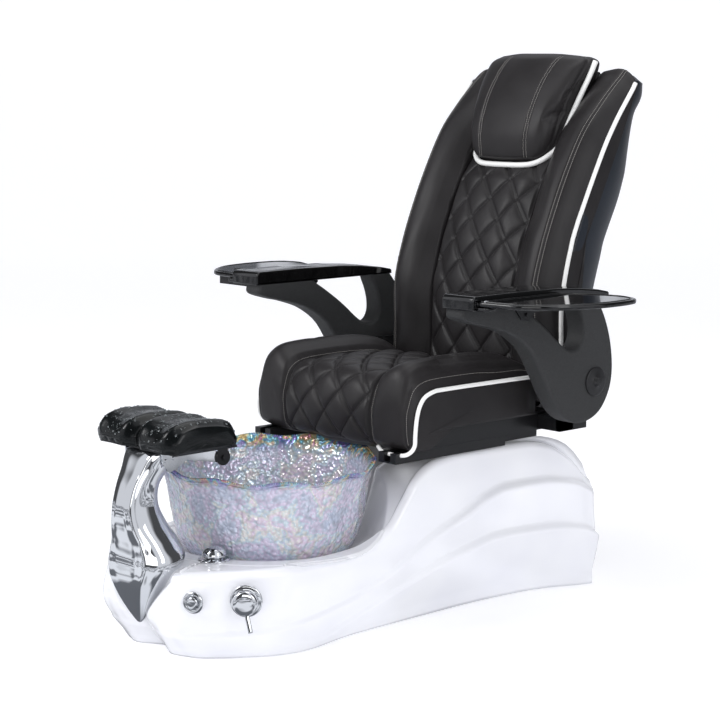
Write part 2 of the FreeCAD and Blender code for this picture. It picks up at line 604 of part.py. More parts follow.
# Seat cushion: side views at stations across the width, with the quilt's channels cut in.
half, rear_end = size.seat_half_width, size.seat_rear
skirt, front_line = size.seat_skirt, size.seat_front


def seat_section(x, rise, front, skirt_lift, back):
    """The seat's side view at x: rise is its top, front its nose, back how far its rear draws in."""
    low = skirt + skirt_lift
    steps = [((front - 2, (low + rise) / 2 - 30), (front + 10, rise - 62)),
             ((front + 32, rise - 18), (front + 90, rise - 6)),
             ((front + 220, rise + 2), (rear_end - 120, rise - 14)),
             ((rear_end - 40, rise - 34), (rear_end - back, rise - 76)),
             (rear_end - back, low), (front + 24, low)]
    return wire((front + 24, low), steps, lambda y, z: Vector(x, y, z))


def seat_stations():
    """Place across, top, nose, lift of the skirt and draw of the rear, from edge to middle."""
    seam = (size.seat_side_seam, front_line + 46, 14, 8)
    shoulder = (size.seat_crest - 22, front_line + 26, 6, 2)
    return [(half, *seam), (half - 18, *shoulder),
            (size.seat_crest_half, size.seat_crest, front_line + 12, 0, 0),
            (size.seat_quilt_half + 18, size.seat_crest - 22, front_line + 4, 0, 0),
            (size.seat_quilt_half, size.seat_valley, front_line + 6, 0, 0),
            (70, size.seat_crown - 3, front_line, 0, 0), (0, size.seat_crown, front_line - 3, 0, 0)]


stations = seat_stations()
both = [(-x, *rest) for x, *rest in stations] + [(x, *rest) for x, *rest in stations[-2::-1]]
seat = loft([seat_section(*station) for station in both])
seat = seat.cut(Part.makeBox(700, 700, size.seat_pan_top + size.soft_gap - 300,
                             Vector(-350, size.seat_pan_front - size.soft_gap, 300)))


def quilt_channels(first, last, side_half, node, low_level, high_level):
    """Crossing upright walls, one channel wide, over a rectangle seen from above: two of them
    cross in the middle at node."""
    pitch_x, pitch_y = size.quilt_pitch_x, size.quilt_pitch_y
    lean = math.degrees(math.atan2(pitch_x, pitch_y))
    reach = (last - first) / math.cos(math.radians(lean)) + 60
    tall = high_level - low_level
    window = Part.makeBox(2 * side_half, last - first, tall, Vector(-side_half, first, low_level))
    walls = []
    spread = side_half * pitch_y / pitch_x
    lowest = math.ceil((first - spread - node) / pitch_y)
    highest = math.floor((last + spread - node) / pitch_y)
    for turn in (-1, 1):
        for step in range(lowest, highest + 1):
            wall = Part.makeBox(size.quilt_width, reach, tall,
                                Vector(-size.quilt_width / 2, -reach / 2, low_level))
            wall = wall.rotated(Vector(), UP, turn * lean)
            walls.append(wall.translated(Vector(0, node + step * pitch_y, 0)))
    return walls[0].fuse(walls[1:]).common(window)


seat_node = front_line + 42
channels = quilt_channels(front_line + 60, rear_end - 90, size.seat_quilt_half - 8, seat_node,
                          size.seat_valley - 60, size.seat_crown + 20)
channels = channels.cut(seat.translated(Vector(0, 0, -size.quilt_depth)))
keep(solid("SeatCushion", seat.cut(channels)), "seat_cushion")

# Backrest: the line where its padding meets its shell, from the bottom up.
back_low = size.back_bottom


def back_section(x, ahead, top, draw):
    """The padding's side view at x: ahead of its seam line, raised at the top, drawn in below."""
    steps = [((466 - ahead, 640), (490 - ahead, 800)),
             ((556 - ahead, 952), (622 - ahead, 1105)),
             ((664 - 0.75 * ahead, 1200), (712 - 0.25 * ahead, 1282 + 0.5 * top)),
             ((732 - 0.1 * ahead, 1298 + 0.9 * top), (752, 1296 + top)),
             (744, 1288), (650, 1105), (520, 800), (500, back_low + draw),
             (470 - ahead, back_low + draw)]
    return wire((470 - ahead, back_low + draw), steps, lambda y, z: Vector(x, y, z))


quilt_edge, crest_at, edge_at = size.back_quilt_half, size.back_crest_half, size.back_half_width
valley = 32
crest = valley + size.back_crest_rise - 7
wing_stations = [(quilt_edge + size.soft_gap, valley - 6, -4, 6),
                 (quilt_edge + 22, crest - 24, 16, 2), (crest_at - 18, crest, 24, 0),
                 (crest_at + 12, crest - 5, 22, 0), (edge_at - 12, crest - 40, 12, 4),
                 (edge_at, 0, -4, 10)]
for side, hand in ((-1, "right"), (1, "left")):
    wires = [back_section(side * x, *rest) for x, *rest in wing_stations]
    keep(solid("Wing", loft(wires)), "back_wing_" + hand)

middle = [(quilt_edge, valley - 8, -4, 6), (quilt_edge - 14, valley, -4, 0),
          (60, valley + size.back_crown - 2, -4, 0), (0, valley + size.back_crown, -4, 0)]
both = [(-x, *rest) for x, *rest in middle] + [(x, *rest) for x, *rest in middle[-2::-1]]
back_pad = loft([back_section(*station) for station in both])
lean = math.radians(24)
slope = Rotation(Vector(1, 0, 0), 90 - math.degrees(lean))
channels = quilt_channels(-352, 208, quilt_edge - 12, 0, -40, 90)
channels.Placement = Placement(Vector(0, 557, 880), slope)
toward_shell = Vector(0, math.cos(lean), -math.sin(lean)) * size.quilt_depth
channels = channels.cut(back_pad.translated(toward_shell))
keep(solid("BackPad", back_pad.cut(channels)), "back_pad")


def pillow_section(level, half_width, front_y, rear_y, crown):
    """The head pillow's plan at a level, crowned at the front and rounded at its sides."""
    round_off = 0.32 * (rear_y - front_y)
    side_front, corner = front_y + round_off, half_width - 0.6 * round_off
    steps = [((0, front_y - crown), (corner, front_y)),
             ((half_width - 0.15 * round_off, front_y + 0.3 * round_off),
              (half_width, side_front)), (half_width - 6, rear_y), (-half_width + 6, rear_y),
             (-half_width, side_front), ((-half_width + 0.15 * round_off,
                                          front_y + 0.3 * round_off), (-corner, front_y))]
    return wire((-corner, front_y), steps, lambda x, y: Vector(x, y, level))


wide, narrow = size.pillow_half_top, size.pillow_half_bottom
pillow_levels = [(1080, narrow - 26, 577, 618, 1), (1096, narrow, 554, 636, 4),
                 (1116, narrow + 14, 552, 652, 7), (1140, narrow + 20, 556, 668, 8),
                 (1200, wide - 19, 575, 700, 9), (1260, wide - 10, 605, 728, 9),
                 (1310, wide - 3, 640, 748, 8), (1338, wide, 668, 752, 5),
                 (1354, wide - 18, 698, 742, 1)]
pillow = loft([pillow_section(*level) for level in pillow_levels])
for item in [piece for piece in pieces if piece.Label.startswith("back_")]:
    pillow = pillow.cut(item.Shape)
pillow = max(pillow.Solids, key=lambda item: item.Volume)
keep(solid("Pillow", pillow), "head_pillow")

# Moulded shell behind the padding: a front line, and a rear line that k draws towards it.
front_seam = [(500, back_low), (520, 800), (650, 1105), (744, 1288)]
rear_line = [(846, 1250), (820, 1170), (810, 1020), (752, 900), (702, 749), (660, 640),
             (630, back_low)]


def seam_at(z):
    for (y0, z0), (y1, z1) in zip(front_seam, front_seam[1:]):
        if z <= z1:
            return y0 + (y1 - y0) * (z - z0) / (z1 - z0)
    return front_seam[-1][0]


def shell_section(x, k, wall):
    """The shell's side view at x. With a wall, the hollow's, open at the front and the bottom."""
    rear = [(seam_at(z) + (y - seam_at(z)) * k - wall, z - 0.6 * wall) for y, z in rear_line]
    open_front = [(y - 12 * wall, z) for y, z in front_seam]
    seam = open_front if wall else front_seam
    drop = 6 * wall
    top_y = 744 + (790 - 744) * k
    points = seam[1:] + [(top_y, 1308 - 1.4 * wall)] + rear[:-1]
    points += [(rear[-1][0], back_low - drop), (seam[0][0], back_low - drop)]
    return wire((seam[0][0], back_low - drop), points, lambda y, z: Vector(x, y, z))


wall = size.shell_wall
rear_half, shell_half = size.shell_rear_half, size.shell_half_width
shell_stations = [(-shell_half, 0.55), (-rear_half, 0.96), (0, 1.0), (rear_half, 0.96),
                  (shell_half, 0.55)]
hollow_stations = [(-shell_half + wall, 0.5), (-rear_half + wall, 0.96), (0, 1.0),
                   (rear_half - wall, 0.96), (shell_half - wall, 0.5)]
back_shell = loft([shell_section(x, k, 0) for x, k in shell_stations])
back_shell = back_shell.cut(loft([shell_section(x, k, wall) for x, k in hollow_stations]))
for item in [piece for piece in pieces if piece.Label in ("back_wing_left", "back_wing_right",
                                                          "back_pad")]:
    back_shell = back_shell.cut(item.Shape)
back_shell = max(back_shell.Solids, key=lambda item: item.Volume)
keep(solid("BackShell", back_shell), "back_shell")

# Steel frame in the backrest, with the recline hinge, and the ears on the seat pan.
hinge = ("hinge_y", "hinge_z")
hinge_y, hinge_z = size.hinge_y, size.hinge_z
lug = 22
track_low, track_high = 580, 1150
frame_parts, ears = [], []
for side in (-1, 1):
    span = on_side(side, "back_frame_half", "back_frame_half + back_frame_plate")
    frame_parts.append(plate("BackFrame", "YZ_Plane", (hinge_y - lug, hinge_z),
                             [((hinge_y, hinge_z - lug), (hinge_y + lug, hinge_z)), (575, 560),
                              (600, 800), (790, 1175), (740, 1182), (676.7, 1156), (650.5, 1105),
                              (520.4, 800), (500.4, back_low), (hinge_y - lug, hinge_z)], *span))
    pin = on_side(side, "back_frame_half - 2", "ear_half_gap + ear_plate + 2")
    frame_parts.append(rod("HingePin", "hinge_pin_radius", "(%s) - (%s)" % (pin[1], pin[0]), "x",
                           pin[0], *hinge))
    span = on_side(side, "ear_half_gap", "ear_half_gap + ear_plate")
    ear = joined("EarBody", rod("EarDisc", "hinge_pin_radius + 10", "ear_plate", "x", span[0],
                                *hinge),
                 block("EarArm", span, ("seat_pan_rear", "hinge_y"),
                       ("hinge_z - 18", "seat_pan_top - 1")))
    ears.append(cut("Ear", ear, rod("EarBore", "hinge_pin_radius + running_gap", 40, "x",
                                    span[0] + " - 10", *hinge)))
bar = ("-back_frame_half", "back_frame_half")
frame_parts.append(block("LowerBar", bar, (538, 568), (track_low - 24, track_low)))
frame_parts.append(block("UpperBar", bar, (740, 780), (track_high, track_high + 22)))
keep(joined("BackFrameBody", *frame_parts), "back_frame")

# Massage unit: a carriage on two leaning rods, with a pair of rollers in front of it.
track_lean = math.radians(20)
along = Vector(0, math.sin(track_lean), math.cos(track_lean))
ahead = Vector(0, -math.cos(track_lean), math.sin(track_lean))
home = Vector(0, 633, 800)
track_turn = Rotation(Vector(1, 0, 0), -math.degrees(track_lean))
rods = []
for side in (-1, 1):
    foot = home + Vector(side * size.track_half_gap, 0, 0) \
        + along * ((track_low - home.z) / along.z - 4)
    rods.append(Part.makeCylinder(size.track_radius, (track_high - track_low) / along.z, foot,
                                  along))
bars = [item for item in frame_parts if item.Name in ("LowerBar", "UpperBar")]
doc.recompute()
rods = [raw.cut(bars[0].Shape).cut(bars[1].Shape) for raw in rods]
keep(solid("Track", Part.makeCompound(rods)), "massage_track")

slab = Part.makeBox(2 * size.carriage_half_width, size.carriage_depth, size.carriage_length,
                    Vector(-size.carriage_half_width, -size.carriage_depth / 2,
                           -size.carriage_length / 2))
ear_at = size.roller_width + 44
for side in (-1, 1):
    slab = slab.fuse(Part.makeBox(10, size.roller_offset + 12, 28,
                                  Vector(side * (ear_at + 5) - 5, -size.roller_offset - 12, -14)))
    slab = slab.cut(Part.makeCylinder(size.track_radius + size.running_gap, 200,
                                      Vector(side * size.track_half_gap, 0, -100)))
slab = slab.cut(Part.makeCylinder(size.roller_axle + size.running_gap, 300,
                                  Vector(-150, -size.roller_offset, 0), Vector(1, 0, 0)))
keep(solid("Carriage", slab, Placement(home, track_turn)), "massage_carriage")
rollers = Part.makeCylinder(size.roller_axle, 2 * ear_at + 22, Vector(-ear_at - 11, 0, 0),
                            Vector(1, 0, 0))
for side in (-1, 1):
    middle_x = side * (ear_at - 6 - size.roller_width / 2)
    wheel = Part.makeCylinder(size.roller_radius, size.roller_width,
                              Vector(middle_x - size.roller_width / 2, 0, 0), Vector(1, 0, 0))
    rollers = rollers.fuse(wheel)
keep(solid("Rollers", rollers, Placement(home + ahead * size.roller_offset, Rotation())),
     "massage_rollers")

# Arms: a bent side panel on a pin beside the seat, with a board on its top and a swinging tray.
pivot = ("arm_pivot_y", "arm_pivot_z")
plate_low, plate_high = "arm_inner - arm_plate - 2", "arm_inner - 2"
plate_front = "arm_pivot_y - 58"
for side in (-1, 1):
    ears.append(block("ArmFoot", on_side(side, "rail_outer", plate_high),
                      (plate_front, "seat_pan_rear"), ("seat_pan_bottom + 4", "seat_pan_top - 6")))
    ears.append(block("ArmPlate", on_side(side, plate_low, plate_high),
                      (plate_front, "arm_pivot_y + 42"),
                      ("seat_pan_bottom + 4", "arm_pivot_z + 47")))
    pin = on_side(side, plate_high, "arm_inner + 48")
    ears.append(rod("ArmPin", "arm_pin_radius", "(%s) - (%s)" % (pin[1], pin[0]), "x", pin[0],
                    *pivot))
keep(group("Brackets", *ears), "seat_brackets")

top, pivot_y, pivot_z = size.arm_top, size.arm_pivot_y, size.arm_pivot_z
arm_steps = [(190, top), (245, top - 32), (300, top - 72), (350, top - 118),
             ((402, top - 148), (443, top - 118)), (432, top - 68), (412, top), (470, top),
             (519, top - 68), ((pivot_y + 83, pivot_z + 21), (pivot_y + 42, pivot_z - 68)),
             ((pivot_y, pivot_z - 96), (pivot_y - 43, pivot_z - 92)),
             (pivot_y - 128, pivot_z - 63), (pivot_y - 178, pivot_z + 17), (235, top - 106),
             (130, top - 56), (70, top - 44), (12, top - 23), (12, top)]
board_front, board_rear, front_top = size.board_front, size.board_rear, size.board_front_top
board_steps = [(board_rear, top), (board_rear, size.board_rear_top),
               ((290, front_top - 3), (150, front_top + 3)), (board_front + 7, front_top + 1),
               (board_front, front_top - 6), (board_front, top)]
eye, eye_x, eye_y = size.tray_eye, size.board_outer + 16, size.tray_pin_y
bend, reach = eye * math.sqrt(0.5), size.tray_reach
tray_plan = [((eye_x - bend, eye_y - bend), (eye_x, eye_y - eye)), (reach - 115, eye_y),
             ((reach - 49, 66), (reach - 9, 132)), ((reach + 3, 210), (reach - 7, 300)),
             ((reach - 21, 352), (reach - 63, 362)), (reach - 95, 358), (470, 312),
             (eye_x - eye, 290), (eye_x - eye, eye_y)]
strut_steps = [(264, top), (264, top - 12), (230, top - 44), (206, top - 39), (183, top - 12),
               (183, top)]
for side, hand in ((-1, "right"), (1, "left")):
    arm = plate("ArmPanel", "YZ_Plane", (12, top), arm_steps,
                *on_side(side, "arm_inner", "arm_outer"))
    bore = on_side(side, "arm_inner - 10", "arm_inner + 50")
    arm = cut("ArmBored", arm, rod("ArmBore", "arm_pin_radius + running_gap", 60, "x", bore[0],
                                   *pivot))
    cap = on_side(side, "arm_outer", "arm_outer + pivot_cap_height")
    knob = on_side(side, "arm_outer", "arm_outer + pivot_cap_height + pivot_knob_height")
    keep(joined("Arm", arm, rod("PivotCap", "pivot_cap_radius", "pivot_cap_height", "x", cap[0],
                                *pivot),
                rod("PivotKnob", "pivot_knob_radius", "pivot_cap_height + pivot_knob_height", "x",
                    knob[0], *pivot)), "arm_" + hand)

    board = plate("BoardBody", "YZ_Plane", (board_front, top), board_steps,
                  *on_side(side, "arm_inner", "board_outer"))
    lug = block("TrayLug", on_side(side, "board_outer - 1", "board_outer + 34"),
                ("tray_pin_y - 18", "tray_pin_y + 18"), ("arm_top", "tray_bottom - soft_gap"))
    pin_x = "%d * (board_outer + 16)" % side
    pin = rod("TrayPin", "tray_pin", "tray_bottom + tray_thickness - arm_top - 1", "z", pin_x,
              "tray_pin_y", "arm_top + 1")
    keep(joined("Board", board, lug, pin), "board_" + hand)

    strut = plate("StrutPlate", "YZ_Plane", (183, top), strut_steps,
                  *on_side(side, "arm_outer", "arm_outer + strut_plate"))
    bolt_x = on_side(side, "arm_outer + strut_plate", "arm_outer + strut_plate + 4")[0]
    heads = [rod("StrutBolt", "strut_bolt", 4, "x", bolt_x, y, z)
             for y, z in ((198, "arm_top - 10"), (222, "arm_top - 28"))]
    keep(joined("Strut", strut, *heads), "strut_" + hand)

    tray = plate("TrayPlate", "XY_Plane", (side * (eye_x - eye), eye_y),
                 [tuple((side * x, y) for x, y in step) if isinstance(step[0], tuple)
                  else (side * step[0], step[1]) for step in tray_plan],
                 "tray_bottom", "tray_bottom + tray_thickness")
    ways = [rod("TrayWay", "tray_pin + running_gap", 40, "z", pin_x, "tray_pin_y",
                "tray_bottom - 10")]
    if side < 0:
        key_ways = [rod("KeyWay", "key_side / 2 + running_gap", 40, "z",
                        "-key_box_x + %g * key_pitch" % step, "key_box_y", "tray_bottom - 10")
                    for step in (-1.5, -0.5, 0.5, 1.5)]
        ways += key_ways
    keep(cut("Tray", tray, *ways), "tray_" + hand)

# Control box under the right tray, with four keys that come up through the tray.
keep(block("KeyBox", ("-key_box_x - key_box_length / 2", "-key_box_x + key_box_length / 2"),
           ("key_box_y - key_box_width / 2", "key_box_y + key_box_width / 2"),
           ("tray_bottom - key_box_height", "tray_bottom")), "key_box")
for number, step in enumerate((-1.5, -0.5, 0.5, 1.5), start=1):
    keep(rod("Key", "key_side / 2", "tray_thickness + key_lift - 3", "z",
             "-key_box_x + %g * key_pitch" % step, "key_box_y", "tray_bottom + 3"),
         "key_%d" % number)

# Rear of the base: a screwed access panel and the power inlet.
panel_half = size.panel_width / 2 - size.soft_gap
panel_box = Part.makeBox(2 * panel_half, 70, size.panel_height - 2 * size.soft_gap,
                         Vector(-panel_half, 575, size.panel_level + size.soft_gap))
panel = base_solid.cut(hollow).common(panel_box)
for x in (-panel_half + 14, panel_half - 14):
    for z in (size.panel_level + 14, size.panel_level + size.panel_height - 14):
        panel = panel.fuse(Part.makeCylinder(5, 12, Vector(x, 612, z), Vector(0, 1, 0)))
keep(solid("AccessPanel", panel), "access_panel")
inlet_x, inlet_low = -230, size.inlet_level
inlet_half = size.inlet_width / 2 - size.soft_gap
inlet_tall = size.inlet_height - 2 * size.soft_gap
inlet = Part.makeBox(2 * inlet_half, 40, inlet_tall,
                     Vector(inlet_x - inlet_half, 585, inlet_low + size.soft_gap))
inlet = inlet.fuse(Part.makeBox(2 * inlet_half + 12, 4, inlet_tall + 12,
                                Vector(inlet_x - inlet_half - 6, 622, inlet_low - 6)))
inlet = inlet.cut(Part.makeBox(30, 26, 16, Vector(inlet_x - 15, 602, inlet_low + 6)))
for x in (-8, 0, 8):
    inlet = inlet.fuse(Part.makeBox(2, 20, 6, Vector(inlet_x + x - 1, 600, inlet_low + 11)))
keep(solid("PowerInlet", inlet), "power_inlet")

# Every object has to be sound before anything is written.
doc.recompute()
for item in doc.Objects:
    if "Invalid" in item.State or "Error" in item.State:
        raise RuntimeError("%s did not build: %s" % (item.Name, item.State))
for item in pieces:
    if item.Shape.isNull() or not item.Shape.isValid() or not item.Shape.Solids:
        raise RuntimeError("%s is not a sound solid" % item.Label)

os.makedirs("parts", exist_ok=True)
for item in pieces:
    item.Shape.exportStep("parts/%s.step" % item.Label)
print(len(pieces), "sub-parts written")
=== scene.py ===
"""A pedicure spa chair in its looks: a moulded white base with a glass basin, and a padded seat."""
import math

import bpy
import numpy as np
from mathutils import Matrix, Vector


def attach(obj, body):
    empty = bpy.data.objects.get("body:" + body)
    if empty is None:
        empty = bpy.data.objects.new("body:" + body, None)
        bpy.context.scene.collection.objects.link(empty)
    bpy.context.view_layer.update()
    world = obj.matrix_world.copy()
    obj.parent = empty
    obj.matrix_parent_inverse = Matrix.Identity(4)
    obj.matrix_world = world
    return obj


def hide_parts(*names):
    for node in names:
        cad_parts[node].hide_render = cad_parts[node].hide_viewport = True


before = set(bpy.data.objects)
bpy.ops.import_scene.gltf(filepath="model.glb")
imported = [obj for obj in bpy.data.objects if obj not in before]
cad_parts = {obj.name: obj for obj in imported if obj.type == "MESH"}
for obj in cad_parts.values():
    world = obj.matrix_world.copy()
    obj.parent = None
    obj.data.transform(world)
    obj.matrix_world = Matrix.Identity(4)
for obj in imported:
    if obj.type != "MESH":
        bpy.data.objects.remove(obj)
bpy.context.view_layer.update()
MM = 0.001
BASIN_AT = -246
VIEW_HEADING = math.radians(47.46)
HANDS = ((1, "left"), (-1, "right"))


# Numbers and curves. Lengths are in millimetres until a mesh is made.

def smoothstep(low, high, value):
    """0 below low, 1 above high, and 3t^2 - 2t^3 between them."""
    t = np.clip((np.asarray(value, float) - low) / (high - low), 0, 1)
    return t * t * (3 - 2 * t)


def hermite(t, step, start, end, slope, last_slope):
    """The cubic from start to end while t goes from 0 to 1, with given slopes at its ends."""
    return ((1 + 2 * t) * (1 - t) ** 2 * start + t * (1 - t) ** 2 * step * slope
            + t * t * (3 - 2 * t) * end - t * t * (1 - t) * step * last_slope)


def line_of(points):
    """A smooth function through (input, output) pairs: cubic pieces with limited slopes."""
    at, value = np.array(points, float).T
    step = np.diff(at)
    slope = np.diff(value) / step
    inner = np.where(slope[:-1] * slope[1:] > 0,
                     2 * slope[:-1] * slope[1:] / (slope[:-1] + slope[1:] + 1e-12), 0)
    tangent = np.concatenate([slope[:1], inner, slope[-1:]])

    def curve(x):
        x = np.clip(np.asarray(x, float), at[0], at[-1])
        i = np.clip(np.searchsorted(at, x, side="right") - 1, 0, len(step) - 1)
        return hermite((x - at[i]) / step[i], step[i], value[i], value[i + 1],
                       tangent[i], tangent[i + 1])

    return curve


def through(points, count, closed=False):
    """count points on the Catmull-Rom curve through control points, along the first axis."""
    p = np.asarray(points, float)
    n = len(p)
    u = np.linspace(0, n if closed else n - 1, count, endpoint=not closed)
    i = np.minimum(u.astype(int), n - 1 if closed else n - 2)
    t = (u - i).reshape((-1,) + (1,) * (p.ndim - 1))
    if closed:
        a, b, c, d = (p[(i + k) % n] for k in (-1, 0, 1, 2))
    else:
        longer = np.concatenate([2 * p[:1] - p[1:2], p, 2 * p[-1:] - p[-2:-1]])
        a, b, c, d = (longer[i + k] for k in range(4))
    return 0.5 * (2 * b + (c - a) * t + (2 * a - 5 * b + 4 * c - d) * t ** 2
                  + (3 * b - a - 3 * c + d) * t ** 3)


def evenly(path, count=None, spacing=None, closed=False):
    """The same line with its points a constant distance apart."""
    p = np.asarray(path, float)
    if closed:
        p = np.concatenate([p, p[:1]])
    along = np.concatenate([[0], np.cumsum(np.linalg.norm(np.diff(p, axis=0), axis=1))])
    count = count or max(2, int(round(along[-1] / spacing)) + 1)
    at = np.linspace(0, along[-1], count, endpoint=not closed)
    return np.stack([np.interp(at, along, p[:, k]) for k in range(p.shape[1])], 1)


def unit(v):
    return v / np.maximum(np.linalg.norm(v, axis=-1, keepdims=True), 1e-9)


# Meshes.

def placed(name, data):
    """A new object in the scene."""
    made = bpy.data.objects.new(name, data)
    bpy.context.scene.collection.objects.link(made)
    return made


def spread(*parts):
    """Coordinates side by side along the last axis, each spread over a common grid."""
    size = np.broadcast_shapes(*(part.shape[:-1] for part in parts))
    return np.concatenate([np.broadcast_to(part, size + part.shape[-1:]) for part in parts], -1)


def made_of(name, points, faces, material):
    """A smooth mesh object from points in millimetres and a list of arrays of faces."""
    mesh = bpy.data.meshes.new(name)
    mesh.from_pydata((np.asarray(points, float).reshape(-1, 3) * MM).tolist(), [],
                     [tuple(face) for part in faces for face in part.tolist()])
    mesh.polygons.foreach_set("use_smooth", np.full(len(mesh.polygons), True))
    mesh.materials.append(material)
    return placed(name, mesh)


def skin(name, points, faces, material, body):
    """A piece riding on a body, with its faces pointing out."""
    piece = made_of(name, points, faces, material)
    if volume_of(piece.data) < 0:
        piece.data.flip_normals()
    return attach(piece, body)


def dressed(piece, node):
    """The piece is shown in place of a solid node, which is hidden."""
    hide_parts(node)
    return piece


def volume_of(mesh):
    """The signed volume inside a mesh: a sixth of the sum of a . (b x c) over its triangles."""
    mesh.calc_loop_triangles()
    corners = np.zeros(len(mesh.loop_triangles) * 3, np.int32)
    mesh.loop_triangles.foreach_get("vertices", corners)
    a, b, c = read(mesh.vertices, "co")[corners.reshape(-1, 3)].transpose(1, 0, 2)
    return (a * np.cross(b, c)).sum() / 6


def net(rows, columns, around=True):
    """Quads between the rows and columns of a grid of points; around joins the last column."""
    i = np.arange(rows - 1)[:, None] * columns
    j = np.arange(columns if around else columns - 1)[None, :]
    k = (j + 1) % columns
    quads = np.stack(np.broadcast_arrays(i + j, i + k, i + columns + k, i + columns + j), -1)
    return quads.reshape(-1, 4)


def closed_net(rows, columns):
    """The same, with the last row joined to the first too."""
    return net(rows + 1, columns) % (rows * columns)


def closed_skin(name, grid, material, body):
    """A grid of rings, one row each, whose first and last rings are closed with a fan."""
    rows, columns = grid.shape[:2]
    points = np.concatenate([grid.reshape(-1, 3), grid[0].mean(0)[None], grid[-1].mean(0)[None]])
    j = np.arange(columns)
    k = (j + 1) % columns
    last = (rows - 1) * columns
    fans = [np.stack([np.full(columns, rows * columns), k, j], 1),
            np.stack([np.full(columns, rows * columns + 1), last + j, last + k], 1)]
    return skin(name, points, [net(rows, columns)] + fans, material, body)


def read(items, what):
    """One vector of each of a mesh's items, (n, 3)."""
    out = np.zeros(len(items) * 3)
    items.foreach_get(what, out)
    return out.reshape(-1, 3)


def carried(path, up, profile, closed=False):
    """A profile (n, 2) carried along a path: its first axis lies along up, its second across."""
    p = np.asarray(path, float)
    if closed:
        tangent = unit(np.roll(p, -1, 0) - np.roll(p, 1, 0))
    else:
        tangent = unit(np.gradient(p, axis=0))
    up = np.broadcast_to(np.asarray(up, float), p.shape)
    up = unit(up - (up * tangent).sum(1, keepdims=True) * tangent)
    across = np.cross(tangent, up)
    profile = np.broadcast_to(profile, (len(p),) + np.shape(profile)[-2:])
    return p[:, None] + profile[..., :1] * up[:, None] + profile[..., 1:] * across[:, None]


def circle(sides):
    turn = np.arange(sides) * 2 * math.pi / sides
    return np.stack([np.cos(turn), np.sin(turn)], 1)


def tube(name, path, up, radius, material, body, closed=False, sides=14):
    """A round bar along a path; closed joins its ends."""
    grid = carried(path, up, circle(sides) * radius, closed)
    if closed:
        return skin(name, grid, [closed_net(*grid.shape[:2])], material, body)
    return closed_skin(name, grid, material, body)


def rings(at, axis, heights, radii, sides, other=(0.31, 0.2, 0.93)):
    """Rings of points about an axis at each place, as (places, rings, sides, 3): each has its
    height along the axis and its radius; other sets where a ring starts."""
    axis = unit(np.asarray(axis, float))
    side = unit(np.cross(axis, other))
    x, y = circle(sides).T[..., None]
    ring = x * side[:, None] + y * np.cross(axis, side)[:, None]
    return (np.asarray(at, float)[:, None, None] + axis[:, None, None] * heights[..., None, None]
            + ring[:, None] * radii[..., None, None])


def bead_faces(count, rows, sides):
    """Faces of separate beads made of rings of points, closed at both ends."""
    first = rows * sides * np.arange(count)[:, None, None]
    last = np.arange(sides)
    ends = np.stack([last[::-1], (rows - 1) * sides + last])
    return [(net(rows, sides) + first).reshape(-1, 4), (ends + first).reshape(-1, sides)]


def turned(name, outline, origin, axis, material, body, sides=64):
    """An outline of (distance along the axis, radius) turned once about the axis."""
    heights, radii = np.asarray(outline, float).T[:, None]
    grid = rings([origin], [axis], heights, radii, sides)[0]
    return closed_skin(name, grid, material, body)


def rounded_line(points, radius):
    """A polyline (n, 2) whose inner corners are replaced by short curves of about radius."""
    p = np.asarray(points, float)
    out = [p[:1]]
    t = np.linspace(0, 1, 5)[:, None]
    for before, corner, after in zip(p[:-2], p[1:-1], p[2:]):
        reach = min(radius, 0.45 * math.dist(before, corner), 0.45 * math.dist(after, corner))
        a = corner + unit(before - corner) * reach
        b = corner + unit(after - corner) * reach
        out.append((1 - t) ** 2 * a + 2 * t * (1 - t) * corner + t ** 2 * b)
    out.append(p[-1:])
    return np.concatenate(out)


# Finishes.

def linear(colour):
    """An sRGB hex colour as linear light with full alpha."""
    channels = np.array([int(colour[i:i + 2], 16) for i in (1, 3, 5)]) / 255
    light = np.where(channels <= 0.04045, channels / 12.92, ((channels + 0.055) / 1.055) ** 2.4)
    return (*light.tolist(), 1.0)


def join(tree, source, socket):
    """Links a node's first output, or the output given, to a socket."""
    tree.links.new(getattr(source, "outputs", [source])[0], socket)


def add(tree, kind, settings=None, **links):
    """Adds a shader node: settings are its options and fixed sockets, links its fed sockets."""
    made = tree.nodes.new("ShaderNode" + kind)
    for key, value in (settings or {}).items():
        if isinstance(key, str) and hasattr(made, key):
            setattr(made, key, value)
        else:
            made.inputs[key].default_value = value
    for key, source in links.items():
        digits = key[1:].isdigit()
        join(tree, source, made.inputs[int(key[1:]) if digits else key.replace("_", " ")])
    return made


def finish(name, colour, rough, **sockets):
    """A new material: its node tree, its main shader and the Object coordinates in metres."""
    material = bpy.data.materials.new(name)
    material.use_nodes = True
    tree = material.node_tree
    shader = tree.nodes["Principled BSDF"]
    settings = {"Base Color": linear(colour), "Roughness": rough}
    settings.update({key.replace("_", " "): value for key, value in sockets.items()})
    for key, value in settings.items():
        shader.inputs[key].default_value = value
    place = add(tree, "TexCoord").outputs["Object"]
    return material, tree, shader, place


def noise(tree, place, scale, detail, rough=0.5, bend=0.0):
    """A cloudy pattern over a place, in cycles to the metre."""
    return add(tree, "TexNoise", {"Scale": scale, "Detail": detail, "Roughness": rough,
                                  "Distortion": bend}, Vector=place)


def bumped(tree, shader, height, strength, distance):
    """Feeds a height into the shader's normal; distance is the relief in metres."""
    bump = add(tree, "Bump", {"Strength": strength, "Distance": distance}, Height=height)
    join(tree, bump, shader.inputs["Normal"])


